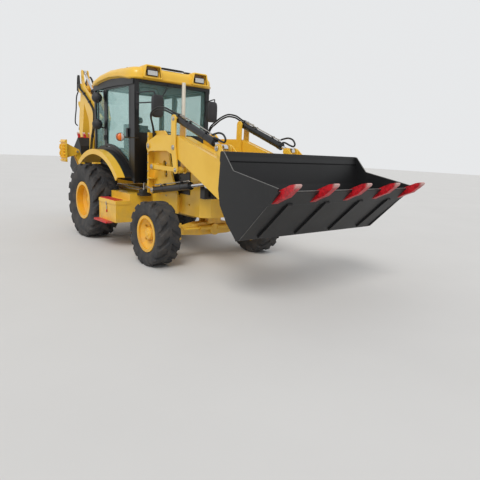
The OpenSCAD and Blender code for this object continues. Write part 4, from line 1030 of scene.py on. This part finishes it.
# %% Toolbox lid and latches
LATCH_X = 1.062
lids, latches, pulls = Shape(), Shape(), Shape()
lids.box((1.085, 1.0675, 0.770), (0.676, 0.010, 0.062), 10)
lids.box((1.4235, 0.945, 0.770), (0.008, 0.246, 0.062), 10)
latches.box((LATCH_X, 1.0735, 0.730), (0.026, 0.012, 0.070), 5)
latches.box((LATCH_X, 1.0665, 0.655), (0.020, 0.016, 0.060), 5)
latches.box((2.158, 0.4235, 0.955), (0.020, 0.012, 0.060), 5)
pulls.box((LATCH_X, 1.0665, 0.605), (0.030, 0.014, 0.050), 4)
pulls.box((2.158, 0.4235, 0.905), (0.024, 0.012, 0.044), 4)
red_rubber = plastic("red_rubber", RED, RED_SHADE)
lids.mirrored().piece("toolbox_lids", yellow, "machine", "yellow_paint")
latches.mirrored().piece("latch_hooks", zinc, "machine", "rod_chrome")
pulls.mirrored().piece("latch_pulls", red_rubber, "machine", "black_paint")

# %% Valves, unions and pipes behind the tower
VALVE_X, VALVE_Y = 1.490, -0.600
valves, unions, lever = Shape(), Shape(), Shape()
valves.box((VALVE_X, VALVE_Y, 0.955), (0.130, 0.150, 0.070), 7)
valves.box((VALVE_X, VALVE_Y, 0.905), (0.170, 0.190, 0.040), 9)
UNION = [(0, 0), (0.016, 0), (0.016, 0.024), (0.010, 0.026), (0.010, 0.110), (0, 0.110)]
for x in (-0.035, 0, 0.035):
    unions.lathe(UNION, (VALVE_X + x, VALVE_Y - x * 0.8, 0.985), (0, 0, 1), 12)
for route in ([(1.40, -0.52, 0.990), (1.15, -0.52, 0.985), (0.90, -0.53, 0.985), (0.70, -0.50, 0.985)],
              [(1.40, -0.58, 0.975), (1.18, -0.60, 0.965), (0.98, -0.61, 0.965), (0.72, -0.60, 0.970)],
              [(1.56, -0.62, 1.010), (1.60, -0.635, 1.045), (1.68, -0.648, 1.052),
               (1.75, -0.648, 1.042), (1.79, -0.642, 1.030)]):
    unions.hose(route, 40, 0.0085)
lever.hose([(1.56, -0.540, 0.98), (1.565, -0.545, 1.12), (1.56, -0.550, 1.30)], 20, 0.011)
lever.box((1.56, -0.550, 1.325), (0.034, 0.034, 0.060), 3)
valves.mirrored().piece("valve_block", cast_black, "machine", "black_paint")
unions.mirrored().piece("valve_unions", zinc, "machine", "rod_chrome")
lever.mirrored().piece("valve_lever", cylinder_black, "machine", "black_paint")

# %% [markdown]
# ## Hoses of the digging arm
# Hoses run up the boom's side, arch over the pin of the stick, and feed its cylinders. The arch bends
# with the stick, and is left here on no body; what lies on one body just rides on it.

# %% Hoses along the boom, over its end and down the stick
def hose_set(routes, name, body, radius=HOSE_RADIUS):
    """Hoses of one body, each with a list of points as its route."""
    shape = Shape()
    for route in routes:
        shape.hose(route, 90, radius)
    return shape.piece(name, hose_rubber, body, "black_paint")


BOOM_ROUTE = [(-1.900, 1.120), (-1.870, 1.400), (-1.800, 1.760), (-1.690, 2.020), (-1.640, 2.260),
              (-1.680, 2.420), (-1.900, 2.600), (-2.200, 2.790), (-2.420, 2.905)]
boom_rows = (-0.160, -0.188, 0.160, 0.188)
hose_set([[(x, y, z) for x, z in BOOM_ROUTE] for y in boom_rows], "boom_hoses", "boom")
hose_set([[(-2.800, y * 0.75, 2.905), (-2.860, y, 2.760), (-2.905, y, 2.500), (-2.985, y, 2.200),
           (-2.950, y * 0.60, 2.110)] for y in (-0.103, 0.103)], "stick_hoses", "stick", 0.0140)
arch = hose_set([[(-2.418, y, 2.904), (-2.470, y, 2.975), (-2.525, y * 0.92, 3.110),
                  (-2.600, y * 0.78, 3.215), (-2.690, y - math.copysign(0.060, y), 3.200),
                  (-2.770, y - math.copysign(0.080, y), 3.060),
                  (-2.800, y - math.copysign(0.085, y), 2.900)] for y in boom_rows],
                "stick_hose_arch", None)
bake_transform(arch)
guards = Shape()
for x, z in ((-1.872, 1.400), (-1.760, 1.860), (-1.900, 2.600), (-2.200, 2.790)):
    guards.box((x, 0.168, z), (0.060, 0.062, 0.060), 5)
guards.mirrored().piece("boom_hose_clamps", cylinder_black, "boom", "black_paint")

# %% [markdown]
# ## Inside the cab
# Through clear glass the driver's place shows: a padded seat with wings and a headrest, a dashboard,
# a padded headliner and a tube frame for the sun screen. Each pad is a crowned pillow, whose power
# falls where foam should look soft.

# %% Seat pads and dashboard
seat, dash = Shape(), Shape()
seat.box((0.270, 0, 1.555), (0.440, 0.430, 0.090), 3.4, 20, 40)
seat.box((0.035, 0, 1.840), (0.100, 0.400, 0.500), 3.2, 24, 40)
seat.box((0.035, 0, 2.170), (0.080, 0.240, 0.130), 2.8, 18, 32)
for y in (-0.225, 0.225):
    seat.box((0.080, y, 1.800), (0.110, 0.070, 0.420), 3.0, 18, 28)
    seat.box((0.250, y * 1.13, 1.690), (0.300, 0.060, 0.050), 3.0, 16, 28)
seat.piece("seat_pads", seat_plastic, "machine", "seat_plastic", 60)
dash.box((1.235, 0, 1.760), (0.190, 0.860, 0.220), 5)
dash.box((1.180, 0, 1.850), (0.120, 0.340, 0.120), 4)
dash.box((0.620, -0.460, 1.480), (0.520, 0.150, 0.120), 5)
dash.box((0.565, 0, 2.700), (1.500, 1.300, 0.030), 8)
dash.piece("dashboard", seat_plastic, "machine", "seat_plastic", 50)

# %% Sun screen frame, grab handles and wipers
SCREEN_X = 1.325
tubes, wipers = Shape(), Shape()
for line, count, radius in (
        ([(-0.600, 2.480), (-0.600, 2.560), (-0.580, 2.605), (-0.440, 2.615), (-0.300, 2.605),
          (-0.268, 2.580), (-0.262, 2.510)], 60, 0.009),
        ([(-0.600, 2.500), (-0.430, 2.512), (-0.262, 2.505)], 20, 0.008),
        ([(-0.430, 2.512), (-0.436, 2.560), (-0.440, 2.612)], 12, 0.007)):
    tubes.hose([(SCREEN_X, y, z) for y, z in line], count, radius)
for y in (-0.640, 0.640):
    tubes.hose([(1.330, y, 1.700), (1.290, y * 0.97, 1.760), (1.285, y * 0.97, 2.000),
                (1.290, y * 0.97, 2.240), (1.330, y, 2.300)], 50, 0.012)
tubes.piece("cab_tubes", cab_black, "machine", "black_paint")
wipers.box((1.396, -0.090, 2.676), (0.034, 0.090, 0.044), 4)
wiper_arm = [(1.4005, -0.095, 2.670), (1.4015, -0.160, 2.600), (1.4015, -0.225, 2.500)]
wiper_blade = [(1.396, -0.150, 2.640), (1.396, -0.228, 2.500), (1.396, -0.300, 2.330)]
wipers.grid(tube(wiper_arm, 0.006, 10)).grid(tube(wiper_blade, 0.0075, 10))
wipers.piece("wipers", cab_black, "machine", "black_paint")

# %% [markdown]
# ## Side lamps
# The lamp at each front corner of the cab is amber outside and clear inside, behind one domed lens in a
# dark rim.

# %% Domed lenses and rims
SIDE_LAMP = (1.410, 0.970, 1.808)
LENS = [(0.0598, -0.006), (0.0598, 0.004), (0.052, 0.013), (0.034, 0.021), (0.014, 0.025), (0, 0.0255)]
LENS_RIM = [(0.0640, -0.012), (0.0655, 0), (0.0645, 0.004), (0.0600, 0.004), (0.0600, -0.012)]
LAMP_BACK = [(0, -0.062), (0.026, -0.060), (0.050, -0.050), (0.0635, -0.040), (0.0635, -0.036),
             (0, -0.036)]
lenses = Shape().lathe(LENS, SIDE_LAMP, (1, 0, 0), 40)
rims = Shape().lathe(LENS_RIM, SIDE_LAMP, (1, 0, 0), 40, hoop=True)
rims.lathe(LAMP_BACK, SIDE_LAMP, (1, 0, 0), 40)
lenses.mirrored().piece("side_lamp_lenses", lamp_lens, "machine", "lamp_lens", 50)
rims.mirrored().piece("side_lamp_rims", cab_black, "machine", "black_paint", 50)

# %% [markdown]
# ## The studio
# An even sky dome does most of the lighting, as on an overcast day, and one broad soft lamp gives the
# shapes a lit side. The floor is plain and pale; what the camera and reflections see of the world is a
# pale grey that adds no light.

# %% A pale floor
FLOOR_HALF = 60.0


def pale_floor():
    """Nearly even pale grey, with wide faint clouds."""
    paint = Paint("floor_paint", Roughness=0.8, Specular_IOR_Level=0.2)
    cloud = paint.noise(0.6, 5)
    return paint.finish(Base_Color=paint.mix(cloud, tone(214, 212, 209), tone(206, 204, 201)))


floor_mesh = bpy.data.meshes.new("floor")
corners = [(x * FLOOR_HALF, y * FLOOR_HALF, 0) for x, y in ((-1, -1), (1, -1), (1, 1), (-1, 1))]
floor_mesh.from_pydata(corners, [], [(0, 1, 2, 3)])
floor_mesh.materials.append(pale_floor())
floor = bpy.data.objects.new("floor", floor_mesh)
bpy.context.scene.collection.objects.link(floor)
print("floor", 2 * FLOOR_HALF, "m wide")

# %% The sky, what is seen of it, and a soft lamp
world = bpy.data.worlds.new("studio")
bpy.context.scene.world = world
world.use_nodes = True
tree = world.node_tree
tree.nodes.clear()


def either(a, b):
    """The greater of two sockets: 1 where a ray is of either kind."""
    node = tree.nodes.new("ShaderNodeMath")
    node.operation = "MAXIMUM"
    tree.links.new(a, node.inputs[0])
    tree.links.new(b, node.inputs[1])
    return node.outputs[0]


def background(colour, strength):
    """The output of a background of one colour."""
    node = tree.nodes.new("ShaderNodeBackground")
    node.inputs["Color"].default_value = (*colour, 1)
    node.inputs["Strength"].default_value = strength
    return node.outputs[0]


ray = tree.nodes.new("ShaderNodeLightPath").outputs
blend = tree.nodes.new("ShaderNodeMixShader")
seen = either(ray["Is Camera Ray"], either(ray["Is Glossy Ray"], ray["Is Transmission Ray"]))
tree.links.new(seen, blend.inputs[0])
tree.links.new(background((0.93, 0.96, 1.0), 0.72), blend.inputs[1])
tree.links.new(background((0.80, 0.81, 0.82), 1.0), blend.inputs[2])
tree.links.new(blend.outputs[0], tree.nodes.new("ShaderNodeOutputWorld").inputs["Surface"])

sun_data = bpy.data.lights.new("soft_sun", "SUN")
sun_data.energy = 1.5
sun_data.angle = math.radians(25)
sun_data.color = (1.0, 0.98, 0.95)
sun = bpy.data.objects.new("soft_sun", sun_data)
sun.rotation_euler = [math.radians(degrees) for degrees in (38, 18, 20)]
bpy.context.scene.collection.objects.link(sun)
bpy.context.scene.view_settings.view_transform = "Standard"
print("studio ready")
